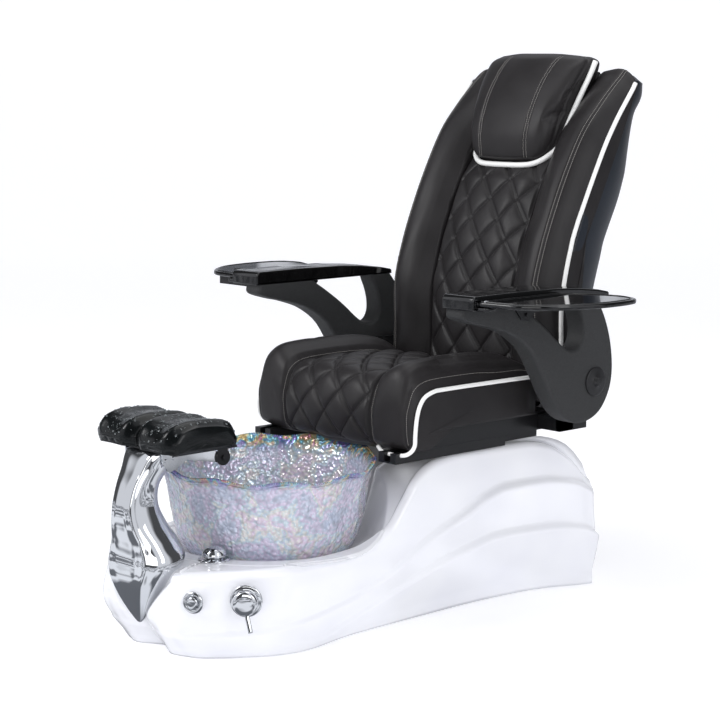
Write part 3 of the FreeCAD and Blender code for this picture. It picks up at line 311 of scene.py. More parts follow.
def tinted(tree, shader, amount, dark, light, low=0.3, high=0.7, between=()):
    """Colours the shader between two tones, past any between them; returns the ramp."""
    ramp = add(tree, "ValToRGB", Fac=amount)
    for element, position, colour in zip(ramp.color_ramp.elements, (low, high), (dark, light)):
        element.position, element.color = position, linear(colour)
    for position, colour in between:
        ramp.color_ramp.elements.new(position).color = linear(colour)
    join(tree, ramp, shader.inputs["Base Color"])
    return ramp


def surface(name, colour, rough, pattern, relief, tones=(), **sockets):
    """A finish with one noise, as its relief (strength, metres) and between tones of colour."""
    material, tree, shader, place = finish(name, colour, rough, **sockets)
    grain = noise(tree, place, *pattern)
    bumped(tree, shader, grain, *relief)
    if tones:
        tinted(tree, shader, grain, *tones)
    return material


def leather():
    """Corrected-grain upholstery leather, dyed near black: pebbles about 1.5 mm across."""
    material, tree, shader, place = finish("black_grained_leather", "#262425", 0.42,
                                           Specular_IOR_Level=0.28)
    pebble = add(tree, "TexVoronoi", {"Scale": 520.0, "feature": "SMOOTH_F1"}, Vector=place)
    crease = noise(tree, place, 60.0, 5.0, 0.62)
    both = add(tree, "Math", {"operation": "MULTIPLY_ADD", 1: 0.4}, _0=pebble, _2=crease)
    bumped(tree, shader, both, 0.22, 0.0008)
    worn = noise(tree, place, 9.0, 3.0)
    tinted(tree, shader, worn, "#211f20", "#2b292a")
    gloss = add(tree, "MapRange", {"To Min": 0.36, "To Max": 0.5}, Value=worn)
    join(tree, gloss, shader.inputs["Roughness"])
    return material


def thread():
    """Twisted polyester sewing thread, pale grey: strands cross it about every 0.5 mm."""
    material, tree, shader, place = finish("grey_polyester_thread", "#93908c", 0.6)
    twist = add(tree, "TexWave", {"Scale": 300.0, "bands_direction": "DIAGONAL"}, Vector=place)
    bumped(tree, shader, twist.outputs["Fac"], 0.3, 0.0003)
    return material


def shell_plastic():
    """Moulded ABS with a fine spark texture, slate blue, half gloss."""
    material, tree, shader, place = finish("slate_textured_abs", "#1c2129", 0.34,
                                           Specular_IOR_Level=0.36)
    spark = noise(tree, place, 900.0, 2.0)
    broad = noise(tree, place, 5.0, 2.0)
    bumped(tree, shader, spark, 0.25, 0.0004)
    tinted(tree, shader, broad, "#171c23", "#21262f")
    return material


def gloss_black():
    """Injection-moulded acrylic, piano black and highly polished, with hairline handling marks."""
    material, tree, shader, place = finish("piano_black_acrylic", "#0a0a0b", 0.06,
                                           Coat_Weight=0.4, Coat_Roughness=0.03)
    marks = noise(tree, place, 25.0, 6.0)
    rough = add(tree, "MapRange", {"To Min": 0.03, "To Max": 0.11}, Value=marks)
    join(tree, rough, shader.inputs["Roughness"])
    return material


def brushed_steel():
    """Stamped stainless steel, brushed along its length: fine hairlines."""
    material, tree, shader, place = finish("brushed_stainless_steel", "#a9abae", 0.28,
                                           Metallic=1.0)
    stretched = add(tree, "Mapping", {"Scale": (900.0, 30.0, 900.0)}, Vector=place)
    hair = noise(tree, stretched, 1.0, 2.0)
    bumped(tree, shader, hair, 0.15, 0.0003)
    tinted(tree, shader, hair, "#97999c", "#bcbec0")
    return material


def iridescent_glass():
    """Hammered pressed glass under a metal-oxide lustre: dimples of about 8 mm, whose thin film
    breaks white light into pastel lilac, blue, pink and straw, deeper towards the rim. Painted
    shade and highlight make each dimple lighter in its middle and darker towards its edges."""
    material, tree, shader, place = finish("iridescent_hammered_glass", "#dfe3ec", 0.15,
                                           Metallic=0.45, Coat_Weight=0.5, Coat_Roughness=0.05,
                                           Thin_Film_Thickness=430.0, Thin_Film_IOR=1.5)
    bent = noise(tree, place, 70.0, 2.0)
    moved = add(tree, "VectorMath", {"operation": "MULTIPLY_ADD", 1: (0.007, 0.007, 0.007)},
                _0=bent.outputs["Color"], _2=place)
    dimple = add(tree, "TexVoronoi", {"Scale": 125.0, "feature": "SMOOTH_F1"}, Vector=moved)
    bumped(tree, shader, dimple, 0.9, 0.0045)
    film = noise(tree, place, 12.0, 6.0, 0.7, 0.4)
    plain = tinted(tree, shader, film, "#c2cde4", "#f3f4f8", 0.28, 0.74,
                   ((0.4, "#d3daeb"), (0.46, "#e6d8ef"), (0.5, "#cfe4f1"), (0.55, "#edebe4"),
                    (0.6, "#eedaef"), (0.66, "#d8ebf4")))
    streak = noise(tree, place, 26.0, 4.0, bend=1.2)
    vivid = tinted(tree, shader, streak, "#2f6fae", "#c8689f", 0.34, 0.66,
                   ((0.42, "#8b6cc4"), (0.5, "#4fb4c6"), (0.58, "#cdb35f")))
    level = add(tree, "SeparateXYZ", Vector=place)
    band = add(tree, "MapRange", {"From Min": 0.368, "From Max": 0.396, "To Max": 0.9},
               Value=level.outputs["Z"])
    both = add(tree, "Mix", {"data_type": "RGBA"}, _0=band, _6=plain, _7=vivid)
    # Painted shade and highlight: the colour is lighter at each dimple's middle and darker towards
    # its edges.
    painted_dimple_shade = add(tree, "MapRange", {"From Min": 0.1, "From Max": 0.75, "To Min": 1.06,
                                    "To Max": 0.66}, Value=dimple)
    shaded = add(tree, "VectorMath", {"operation": "SCALE"}, _0=both.outputs[2], Scale=painted_dimple_shade)
    join(tree, shaded, shader.inputs["Base Color"])
    return material


# Polished white gelcoat, with a faint painted glow that lightens its shaded parts; smooth vinyl on
# the seat's sides; the foot rest's wet coated leather.
WHITE = surface("white_polished_gelcoat_painted_glow", "#e9eaef", 0.16, (7.0, 1.0),
                (0.05, 0.004), ("#e6e7ed", "#ecedf1"), Coat_Weight=0.5, Coat_Roughness=0.04,
                Emission_Color=(1, 1, 1, 1), Emission_Strength=0.05)
SIDE = surface("black_smooth_vinyl", "#0b0b0c", 0.4, (420.0, 3.0),
               (0.15, 0.0003), ("#09090a", "#101011"), Specular_IOR_Level=0.2)
WET = surface("black_wet_coated_leather", "#0a0e0f", 0.2, (40.0, 4.0),
              (0.12, 0.0015), ("#060809", "#0e1213"), Specular_IOR_Level=0.24, Coat_Weight=0.14,
              Coat_Roughness=0.06)
# Vinyl welting; charcoal skin foam with pale specks; chromium plate; powder coat; clear water.
PIPING = surface("white_vinyl_piping", "#f6f6f4", 0.34, (300.0, 2.0),
                 (0.1, 0.0004))
ARM = surface("charcoal_skin_foam", "#2c2c2d", 0.6,
              (700.0, 3.0, 0.7), (0.55, 0.0007),
              ("#212122", "#434445", 0.35, 0.68), Specular_IOR_Level=0.3)
CHROME = surface("bright_chromium_plate", "#d6d8db", 0.05, (22.0, 1.0),
                 (0.06, 0.002), Metallic=1.0)
PAINTED = surface("black_powder_coat", "#131315", 0.3, (350.0, 2.0),
                  (0.12, 0.0005))
WATER = surface("clear_water", "#e8f0f2", 0.03, (400.0, 1.0),
                (0.05, 0.0003), IOR=1.33, Transmission_Weight=0.85)
# Moulded rubber and plastics with a fine matt texture.
RUBBER, NYLON, POLY = (
    surface(name, colour, rough, (600.0, 2.0), (0.2, 0.0003))
    for name, colour, rough in (("black_nitrile_rubber", "#1a1a1c", 0.7),
                                ("black_moulded_nylon", "#1d1d1f", 0.45),
                                ("white_moulded_polypropylene", "#e6e6e6", 0.4)))
LEATHER, THREAD, SHELL, GLOSS = leather(), thread(), shell_plastic(), gloss_black()
BRUSHED, GLASS = brushed_steel(), iridescent_glass()


# Base.

TOP_LINE = line_of([(-760, 186), (-700, 192), (-650, 201), (-560, 206), (-300, 206), (-200, 210),
                    (-140, 224), (-85, 252), (-30, 304), (30, 354), (80, 378), (130, 390),
                    (190, 395.5), (440, 395.5), (500, 383), (545, 348), (574, 303), (600, 254),
                    (618, 216)])
RIDGES = (line_of([(-680, 60), (-480, 68), (-359, 78), (-236, 96), (-109, 138), (21, 203),
                   (156, 254), (227, 285), (298, 301), (407, 303), (501, 290), (559, 270),
                   (630, 240)]),
          line_of([(-300, 20), (-198, 50), (-118, 80), (12, 124), (148, 163), (289, 184),
                   (436, 180), (551, 163), (617, 132), (660, 110)]))
LEVELS = np.array([0, 100, 206, 300, 416.0])
OUTLINES = [
    [(0, -560), (62, -588), (103, -579), (140, -560), (186, -505), (238, -420),
     (252, -330), (228, -180), (222, 60), (222, 260), (240, 440), (288, 570), (290, 606),
     (200, 614), (0, 614)],
    [(0, -646), (62, -645), (105, -642), (146, -628), (212, -540), (262, -430), (268, -330),
     (262, -160), (262, 60), (270, 280), (292, 480), (312, 577), (300, 612), (220, 620), (0, 621)],
    [(0, -640), (62, -637), (103, -629), (142, -611), (216, -526), (264, -420), (270, -330),
     (272, -160), (276, 60), (286, 280), (304, 470), (314, 560), (300, 600), (220, 611), (0, 613)],
    [(0, -630), (62, -627), (103, -619), (140, -602), (212, -516), (258, -412), (264, -330),
     (268, -160), (272, 60), (282, 280), (302, 440), (308, 530), (292, 572), (210, 586), (0, 589)],
    [(0, -622), (62, -619), (101, -611), (138, -596), (206, -510), (250, -405), (256, -330),
     (256, -160), (258, 60), (264, 260), (276, 420), (278, 480), (262, 515), (190, 528), (0, 531)]]
AROUND = 440
LOOPS = np.array([
    evenly(through(right + [(-x, y) for x, y in right[-2:0:-1]], 1200, closed=True), AROUND,
           closed=True) for right in OUTLINES])
SLOPES = np.gradient(LOOPS, LEVELS, axis=0)
DECK = 206.0
SHOULDER = 20
WELL = [(0.03, 285), (0.1, 282), (0.25, 277), (0.45, 269), (0.65, 260), (0.85, 250), (1.0, 240)]
DISH = [(233, 204), (222, 197), (200, 184), (172, 172.5), (150, 171.5), (90, 171.5),
        (38.5, 171.5)]


def plan_at(level):
    """The plan outline (AROUND, 2) at each point's own level, between the five drawn outlines."""
    at = np.clip(level, 0, LEVELS[-1] - 1e-6)
    k = np.clip(np.searchsorted(LEVELS, at, side="right") - 1, 0, len(LEVELS) - 2)
    step = (LEVELS[k + 1] - LEVELS[k])[:, None]
    j = np.arange(AROUND)
    return hermite((at - LEVELS[k])[:, None] / step, step, LOOPS[k, j], LOOPS[k + 1, j],
                   SLOPES[k, j], SLOPES[k + 1, j])


def swoosh(y, z):
    """How far the wall steps out: each ridge is a lip up to 20 mm deep that fades away
    below it."""
    out = np.zeros(np.broadcast(y, z).shape)
    for ridge, deep in zip(RIDGES, (20.0, 17.0)):
        below = ridge(y) - z
        size = deep * (0.35 + 0.65 * smoothstep(-250, 350, y))
        out += size * (smoothstep(-4, 13, below) * np.exp(-np.maximum(below, 0) / 62) - 0.42)
    return out


def scoop(x, y, level):
    """How deep the nose is hollowed behind the pillar's foot: wide at the deck, a tip below."""
    half = np.interp(level, (0, 50, 90, 140, 180, 206), (34, 26, 30, 72, 104, 128))
    deep = np.interp(level, (0, 50, 95, 150, 206), (4, 8, 22, 28, 26))
    soft = np.interp(level, (0, 60, 110, 206), (34, 24, 12, 11))
    return deep * (1 - smoothstep(half - soft, half + soft, abs(x))) \
        * (1 - smoothstep(-560, -500, y))


def outward(ring):
    """Level outward directions of a ring of points round the base."""
    normal = unit(np.stack([np.gradient(ring[:, 1]), -np.gradient(ring[:, 0])], 1))
    return normal * np.sign((normal * ring[:, :2]).sum(1, keepdims=True) + 1e-9)


def about_basin(heading, radius, level):
    """Points about the basin's axis at a radius and level."""
    return np.column_stack([np.cos(heading) * radius, np.sin(heading) * radius + BASIN_AT,
                            level + 0 * heading])


def base_grid():
    """Rows from the floor up the wall, over a rounded shoulder, and in to the basin's well."""
    shoulder = TOP_LINE(plan_at(np.full(AROUND, DECK))[:, 1])
    rows = []
    for share in np.linspace(0, 1, 60) ** 0.9:
        level = share * (shoulder - SHOULDER)
        ring = plan_at(level)
        way = outward(ring)
        fade = smoothstep(0, 40, level) * 0.6 + 0.4
        ring = ring + way * (swoosh(ring[:, 1], level) * np.abs(way[:, 0]) ** 0.5 * fade)[:, None]
        ring[:, 1] += scoop(ring[:, 0], ring[:, 1], level)
        rows.append(np.column_stack([ring, level]))
    edge = rows[-1]
    for turn in np.linspace(0, math.pi / 2, 9)[1:]:
        ring = edge[:, :2] - outward(edge) * SHOULDER * (1 - math.cos(turn))
        rows.append(np.column_stack([ring, edge[:, 2] + SHOULDER * math.sin(turn)]))
    lip = rows[-1]
    heading = np.arctan2(lip[:, 1] - BASIN_AT, lip[:, 0])
    well = about_basin(heading, 287, 0)[:, :2]
    lift = lip[:, 2] - TOP_LINE(lip[:, 1])
    for share in np.linspace(0, 1, 26)[1:]:
        ring = lip[:, :2] * (1 - share) + well * share
        rows.append(np.column_stack([ring, TOP_LINE(ring[:, 1])
                                     + lift * (1 - smoothstep(0, 0.3, share))]))
    rim = np.maximum(rows[-1][:, 2], DECK + 1)
    rows += [about_basin(heading, radius, rim * (1 - share) + (DECK + 1) * share)
             for share, radius in WELL]
    rows += [about_basin(heading, radius, level) for radius, level in DISH]
    return np.array(rows)


def walled(piece, thickness):
    """Gives an open skin its wall, inwards, in metres."""
    wall = piece.modifiers.new("wall", "SOLIDIFY")
    wall.thickness, wall.offset = thickness, -1


def base_shell():
    """The moulded base: an open skin whose outer wall faces away from its middle."""
    grid = base_grid()
    piece = skin("moulded_base", grid, [net(*grid.shape[:2])], WHITE, "base")
    faces = piece.data.polygons
    wall = slice(0, 40 * AROUND)
    if (read(faces, "normal")[wall, 0] * read(faces, "center")[wall, 0]).sum() < 0:
        piece.data.flip_normals()
    walled(piece, 0.005)
    dressed(piece, "base_shell")


base_shell()


# Glass basin.

BASIN_WALL = np.array([(24, 175), (90, 175), (150, 175), (172, 178), (190, 184), (204, 195),
                       (214, 212), (222, 234), (228, 262), (233, 292), (238, 322), (244, 350),
                       (251, 372), (257, 384), (259, 389)], float)
BASIN_FLOOR = 182.5
BASIN_SIDES = 384


def bowl_rim(turn):
    """The rim's wave: it leans up to the back and right, with ten lobes round the edge."""
    return (11 * np.cos(turn - 2.45) + 3 * np.cos(2 * turn + 3.0)
            + 4.5 * np.cos(10 * (turn - 2.6)))


def glass_bowl():
    """A turned wall that swells outward, dented all over, fluted slightly below a waving rim."""
    turn = np.arange(BASIN_SIDES) * 2 * math.pi / BASIN_SIDES
    wave = bowl_rim(turn)
    inner = BASIN_WALL[::-1] + np.array([-7.5, 3.5])
    inner[:, 1] = np.maximum(inner[:, 1], BASIN_FLOOR)
    inner = inner[inner[:, 0] > 30]
    inner[0] = (253, 391.5)
    line = np.concatenate([through(BASIN_WALL, 90), through(inner, 80), [(24, BASIN_FLOOR)]])
    radius, level = line.T[..., None]
    share = smoothstep(290, 388, level)
    dents = np.random.default_rng(5).random((len(line) // 2 + 1, BASIN_SIDES // 2)) - 0.5
    dents = np.repeat(np.repeat(dents, 2, 0), 2, 1)[:len(line)]
    dents = (dents + np.roll(dents, 1, 0) + np.roll(dents, 1, 1)) / 3
    radius = (radius + share * 0.2 * wave + smoothstep(200, 300, level) * 1.6 * np.cos(16 * turn)
              + 2.6 * dents * (radius > 60) * (1 - 0.7 * share))
    grid = np.stack([radius * np.cos(turn), radius * np.sin(turn) + BASIN_AT,
                     level + share * (wave + 7)], 2)
    piece = skin("hammered_basin", grid, [closed_net(len(line), BASIN_SIDES)], GLASS, "base")
    dressed(piece, "glass_bowl")


def rim_beads():
    """A pressed border: small beads side by side along the waving rim, and a rib below them."""
    count, size = 300, 2.9
    turn = np.arange(count) * 2 * math.pi / count
    wave = bowl_rim(turn)
    radius = 258.5 + 0.2 * wave
    rib = about_basin(turn, radius - 2.2, 388.5 + wave)
    piece = tube("basin_rib", evenly(rib, count, closed=True), (0, 0, 1), 2.0, GLASS, "base",
                 closed=True, sides=8)
    tilt = np.array([[-0.85, -0.3, 0.3, 0.85]])
    points = rings(about_basin(turn, radius, 397.5 + wave), [(0, 0, 1)], size * tilt,
                   size * np.sqrt(1 - tilt ** 2), 6, (0, -1, 0))
    skin("basin_rim_beads", points, bead_faces(count, 4, 6), GLASS, "base")


glass_bowl()
rim_beads()


# Chrome column: level, place, half width and half depth of its sections.

COLUMN = [(70, -628, 6, 4), (82, -630, 20, 8), (104, -633, 38, 16), (136, -634, 60, 28),
          (172, -624, 82, 48), (206, -608, 95, 64), (232, -602, 92, 68), (262, -608, 76, 64),
          (300, -624, 57, 57), (345, -634, 47, 47), (390, -626, 47, 42), (425, -604, 54, 46),
          (450, -588, 62, 50), (462, -578, 66, 52), (466, -575, 64, 50)]


def column():
    """Rounded sections up a C-shaped line; a ridge runs up each side of its front."""
    turn = np.arange(160) * 2 * math.pi / 160
    level, back, half, deep = through(COLUMN, 130).T[:, :, None]
    x, y = (np.sign(wave) * np.abs(wave) ** 0.78 for wave in (np.cos(turn), np.sin(turn)))
    ridge = 1 + sum(high * np.exp(-((turn - at) / wide) ** 2) for high, at, wide in
                    ((0.05, 4.05, 0.14), (0.05, 5.37, 0.14), (-0.05, 4.71, 0.3)))
    grid = np.stack([half * x * ridge, back + deep * y * ridge, level + 0 * x], 2)
    dressed(closed_skin("chrome_pillar", grid, CHROME, "base"), "chrome_column")


column()


# Padded pieces.

END_ROWS = 5
FRAMES = 20
COARSE = (44, 72)


def sections(at, knots, count, order=(0, 1, 2)):
    """Closed loops, one at each place: smooth curves through knots, whose two numbers may each be
    a line over the places, with count points a constant distance apart. Order puts place, first
    and second number into x, y, z."""
    points = np.array([[a + 0 * at, b + 0 * at] for a, b in knots]).transpose(0, 2, 1)
    dense = through(points, 90 * len(knots), closed=True)
    loops = np.stack([evenly(dense[:, i], count, closed=True) for i in range(len(at))])
    return spread(at[:, None, None], loops)[..., order]


def capped(grid, swell, axis):
    """Adds rows to both ends of a grid, shrinking each end loop to its middle as it swells."""
    ends = []
    for ring, beside in ((grid[0], grid[1]), (grid[-1], grid[-2])):
        middle = ring.mean(0)
        out = np.eye(3)[axis] * np.sign((middle - beside.mean(0))[axis])
        ends.append([ring * (1 - t) + middle * t + out * swell * math.sqrt(1 - (1 - t) ** 2)
                     for t in np.linspace(0, 1, END_ROWS + 2)[1:-1]])
    return np.concatenate([ends[0][::-1], grid, ends[1]])


def blown(grid, cap):
    """Cloth simulation: the closed grid, thinned, is blown up by air pressure, no point moves
    more than cap, and the movement is spread back over the full grid, linearly both ways."""
    rows = np.unique(np.linspace(0, len(grid) - 1, min(len(grid), COARSE[0])).astype(int))
    columns = np.unique(np.linspace(0, grid.shape[1], min(grid.shape[1], COARSE[1]),
                                    endpoint=False).astype(int))
    coarse = grid[rows][:, columns]
    temporary = closed_skin("pressing", coarse, LEATHER, "base")
    temporary.parent = None
    cloth = temporary.modifiers.new("cloth", "CLOTH")
    settings = cloth.settings
    settings.use_pressure, settings.uniform_pressure_force = True, 4.0
    settings.effector_weights.gravity = 0
    settings.quality, settings.mass = 5, 0.3
    settings.tension_stiffness = settings.compression_stiffness = 25
    cloth.collision_settings.use_collision = False
    scene = bpy.context.scene
    for number in range(1, FRAMES + 1):
        scene.frame_set(number)
    shaped = temporary.evaluated_get(bpy.context.evaluated_depsgraph_get())
    at = read(shaped.data.vertices, "co")
    scene.frame_set(1)
    bpy.data.objects.remove(temporary)
    moved = at[:coarse.size // 3].reshape(coarse.shape) / MM - coarse
    moved -= np.median(moved.reshape(-1, 3), 0)
    moved *= np.minimum(1, cap / np.maximum(np.linalg.norm(moved, axis=2, keepdims=True), 1e-9))
    filled = np.concatenate([moved, moved[:, :1]], 1)
    at_row = np.interp(np.arange(len(grid)), rows, np.arange(len(rows)))
    at_column = np.interp(np.arange(grid.shape[1]), np.append(columns, grid.shape[1]),
                          np.arange(len(columns) + 1))
    i = np.minimum(at_row.astype(int), len(rows) - 2)
    j = np.minimum(at_column.astype(int), len(columns) - 1)
    u, v = (at_row - i)[:, None, None], (at_column - j)[None, :, None]
    return grid + ((filled[i][:, j] * (1 - u) + filled[i + 1][:, j] * u) * (1 - v)
                   + (filled[i][:, j + 1] * (1 - u) + filled[i + 1][:, j + 1] * u) * v)


def normals_of(grid):
    """Outward directions of a grid of rings, from the cross product of its two directions."""
    along = np.gradient(grid, axis=0)
    ring = np.roll(grid, -1, 1) - np.roll(grid, 1, 1)
    normal = unit(np.cross(along, ring))
    out = ((grid - grid.mean((0, 1))) * normal).sum()
    return normal * (1 if out > 0 else -1)


def groove(distance, width, depth):
    """A sewn valley: -depth at the seam, rising to 0 as a bell of that width."""
    return -depth * np.exp(-(distance / width) ** 2)


def quilt(across, along):
    """Height of diamond quilting, 94 by 114 mm: flat domes between double seams 7 mm apart one
    way and single seams the other way."""
    wide, tall = 94, 114
    height, dome = 0, 1
    for way, half in ((1, 3.6), (-1, 0.0)):
        lane = along / tall + way * across / wide
        gap = np.abs(lane - np.round(lane)) * wide * tall / math.hypot(wide, tall)
        height = height + groove(gap - half, 1.8, 3.4)
        dome = dome * (1 - np.exp(-np.maximum(gap - half, 0) / 10))
    return height + 6.0 * dome


def padded_piece(name, grid, cap, relief, swell, material, body, node, axis=0):
    """A cushion: its grid is blown up, given its sewn relief outwards, and closed at its ends.
    Returns the grid as made and its outward directions, for the seams and piping on it."""
    shape = blown(capped(grid, swell, axis), cap)
    rows = slice(END_ROWS, END_ROWS + len(grid))
    shape[rows] = shape[rows] + normals_of(shape[rows]) * relief[..., None]
    piece = closed_skin(name, shape, material, body)
    dressed(piece, node)
    return shape[rows], normals_of(shape[rows])


def stitches(name, lines, body, radius=0.8):
    """Rows of stitches: one bead of thread 3.8 mm long every 5 mm along each line."""
    heights = 1.9 * np.array([[-1, -0.6, 0.6, 1.0]])
    radii = radius * np.array([[0.35, 1, 1, 0.35]])
    spaced = [evenly(line, spacing=5.0) for line in lines]
    stitch = np.concatenate([rings(line, np.gradient(line, axis=0), heights, radii, 6)
                             for line in spaced])
    piece = skin(name, stitch, bead_faces(len(stitch), 4, 6), THREAD, body)


def seam_on(grid, normal, x, first, last):
    """The line just above a grid of side views at one place across, between two shares of its
    loop."""
    row = int(np.argmin(np.abs(grid[:, :, 0].mean(1) - x)))
    columns = slice(int(first * grid.shape[1]), int(last * grid.shape[1]))
    return grid[row, columns] + normal[row, columns] * 0.5


def loop_length(grid, row):
    """The distance along one loop of a grid from its first point to each of its points."""
    step = np.linalg.norm(np.diff(grid[row], axis=0), axis=1)
    return np.concatenate([[0], np.cumsum(step)])


# Seat cushion.

SEAT_HALF = 288
SEAT_TOP = line_of([(0, 598), (70, 596), (147, 588), (157, 586), (176, 606), (224, 626),
                    (258, 616), (276, 594), (288, 563)])
SEAT_NOSE = line_of([(0, -75), (70, -72), (147, -67), (157, -64), (176, -68), (224, -62),
                     (262, -54), (280, -46), (288, -39)])
SEAT_DIVE = line_of([(0, 36), (200, 36), (262, 20), (288, 4)])


def seat_cushion():
    """Side views across the seat: a waterfall nose, two bolsters, and a quilted middle."""
    x = np.linspace(-SEAT_HALF, SEAT_HALF, 289)
    top, nose, dive = SEAT_TOP(abs(x)), SEAT_NOSE(abs(x)), SEAT_DIVE(abs(x))
    low, rear, ledge = 421.5, 389.5, 468.4
    knots = [(20, low), (nose + 56, low), (nose + 34, low + 1), (nose + 14, low + 10),
             (nose + 4, low + 32), (nose, (low + top) / 2 - 2), (nose + 6, top - 58),
             (nose + 20, top - 24), (nose + 48, top - 7), (nose + 100, top), (nose + 220, top + 2),
             (rear - 130, top - 4), (rear - 50, top - 0.6 * dive), (rear - 8, top - dive - 6),
             (rear, top - dive - 22), (rear, 505), (rear - 1, 474), (rear - 10, ledge),
             (200, ledge), (30, ledge), (22, 462), (21, 440)]
    grid = sections(x, knots, 330)
    along = loop_length(grid, 144)
    side = abs(x)[:, None]
    panel = (1 - smoothstep(143, 150, side)) * smoothstep(66, 78, along) \
        * (1 - smoothstep(690, 712, along))
    shown = smoothstep(40, 60, along) * (1 - smoothstep(720, 740, along))
    relief = quilt(x[:, None], along[None] - 30) * panel
    relief = relief + groove(side - 155, 4, 5) * shown + groove(side - 272, 3, 1.6) * shown
    relief = relief + 0.35 * np.sin(along / 3.2) * groove(side - 163, 7, -1) * shown
    shape, normal = padded_piece("seat_cushion_quilted", grid, 8, relief, 1.0, LEATHER, "seat",
                                 "seat_cushion")
    mesh = bpy.data.objects["seat_cushion_quilted"].data
    mesh.materials.append(SIDE)
    beside = abs(read(mesh.polygons, "center")[:, 0]) > (SEAT_HALF - 0.1) * MM
    mesh.polygons.foreach_set("material_index", beside.astype(int))
    lines = [seam_on(shape, normal, way * at, 0.06, 0.66) for way in (-1, 1)
             for at in (163, 270)]
    stitches("seat_stitching", lines, "seat", radius=0.6)
    edge = [(389, 563), (330, 564), (200, 565), (60, 565), (26, 563), (-4, 552), (-21, 530),
            (-30, 500), (-34, 465)]
    right = [(287, y, z) for y, z in edge] + [(287, -36, 440), (281, -44, 425), (266, -51, 417),
                                              (236, -55, 415), (196, -52, 416), (166, -40, 424)]
    left = [(-287, y, z) for y, z in edge] + [(-284, -26, 438), (-270, -12, 426)]
    for hand, path in (("left", right), ("right", left)):
        tube("seat_piping_" + hand, evenly(through(path, 1500), spacing=5), (0.2, 0.7, 0.7), 5,
             PIPING, "seat")


seat_cushion()


# Backrest.

SEAM_LINE = [(500, 490), (520, 800), (650, 1105), (744, 1288)]
CREST_LINE = [(400, 500), (408, 600), (410, 700), (410, 785), (432, 852), (454, 912),
              (498, 1010), (546, 1102), (602, 1188), (679, 1268), (748, 1325)]
WING_RISE = line_of([(150, 0.60), (165, 0.72), (180, 0.84), (205, 0.96), (226, 1.0), (247, 0.96),
                     (264, 0.80), (278, 0.58), (288, 0.36)])
SHARES = np.array([0, 0.06, 0.16, 0.28, 0.4, 0.52, 0.64, 0.76, 0.86, 0.93, 0.97, 1.0])
SEAM, CREST = (evenly(through(line, 900), 901) for line in (SEAM_LINE, CREST_LINE))
ALONG_SEAM, ALONG_CREST = (line[(SHARES * 900).astype(int)] for line in (SEAM, CREST))


def back_knots(rise, crown):
    """Knots of a side view: up the front, whose rise is its share of the way from the seam line
    to the crest line, over the top, and down the seam line."""
    front = [(f[0] + (c[0] - f[0]) * rise - crown, f[1] + (c[1] - f[1]) * rise)
             for f, c in zip(ALONG_SEAM, ALONG_CREST)]
    top = [(756, 1288 + 20 * rise)]
    rear = [(f[0] + 1, f[1]) for f in ALONG_SEAM[[10, 8, 6, 4, 2, 0]]]
    return front + top + rear + [(470, 489), (440, 489)]


def rounded_off(grid):
    """The upper corners of the back: points near its sides come down as they near the top."""
    side = np.abs(grid[..., 0])
    drop = (10 * smoothstep(232, 290, side) ** 1.5 + 14 * (1 - smoothstep(150, 178, side))
            * (side > 150)) * smoothstep(1120, 1325, grid[..., 2])
    return grid - drop[..., None] * [0, 0.35, 1]


def back_wing(side, hand):
    """One raised side of the backrest, puckered along its double seam."""
    x = np.linspace(150.5, 288, 86)
    grid = rounded_off(sections(x, back_knots(WING_RISE(x), 0), 420))
    grid[..., 0] *= side
    along = loop_length(grid, 42)
    shown = smoothstep(0, 30, along) * (1 - smoothstep(980, 1010, along))
    from_seam = x[:, None] - 250
    relief = (groove(from_seam - 4.5, 2.2, 1.5) + groove(from_seam + 4.5, 2.2, 1.5)
              + 0.3 * np.sin(along / 3.0) * groove(from_seam, 9, -1)
              + 0.9 * np.sin(along / 31 + x[:, None] / 15) * groove(from_seam + 36, 26, -1)) * shown
    node = "back_wing_" + hand
    shape, normal = padded_piece(node + "_upholstered", grid, 6, relief, 1.5, LEATHER,
                                 "backrest", node)
    lines = [seam_on(shape, normal, side * (250 + off), 0.005, 0.5) for off in (-4.5, 4.5)]
    stitches(node + "_stitching", lines, "backrest")
    last = int(np.argmax(shape[-1, :, 2])) - 1
    path = evenly(shape[-1, :last] + [side * 2.5, 0, 0], spacing=6)
    tube("back_piping_" + hand, path, (side, 0, 0), 5.6, PIPING, "backrest")


def back_pad():
    """The quilted middle of the backrest, crowned across."""
    x = np.linspace(-149.5, 149.5, 151)
    crown = 12 * (1 - (abs(x) / 150) ** 2.2)
    grid = sections(x, back_knots(0.6, crown), 520)
    grid[:, :290, 1] += 20 * smoothstep(1030, 1090, grid[:, :290, 2])
    along = loop_length(grid, 75)
    panel = (1 - smoothstep(141, 148, abs(x)))[:, None] * smoothstep(6, 30, along) \
        * (1 - smoothstep(900, 930, along))
    start = np.argmin(abs(grid[75, :250, 2] - 880))
    relief = quilt(x[:, None], along[None] - along[start]) * panel
    padded_piece("back_pad_quilted", grid, 6, relief, 1.0, LEATHER, "backrest", "back_pad")


for way, hand in HANDS:
    back_wing(way, hand)
back_pad()


# Head pillow: plans at levels, leaning back, wider at the top.

PILLOW_HALF = line_of([(1078, 92), (1084, 108), (1094, 122), (1110, 134), (1135, 142),
                       (1200, 151), (1260, 160), (1310, 167), (1336, 170), (1348, 164),
                       (1354, 152)])
PILLOW_FRONT = line_of([(1078, 580), (1086, 562), (1096, 554), (1140, 556), (1200, 575),
                        (1260, 605), (1310, 640), (1342, 672), (1354, 698)])
PILLOW_REAR = line_of([(1078, 615), (1100, 640), (1140, 668), (1200, 700), (1260, 728),
                       (1310, 748), (1342, 752), (1354, 742)])


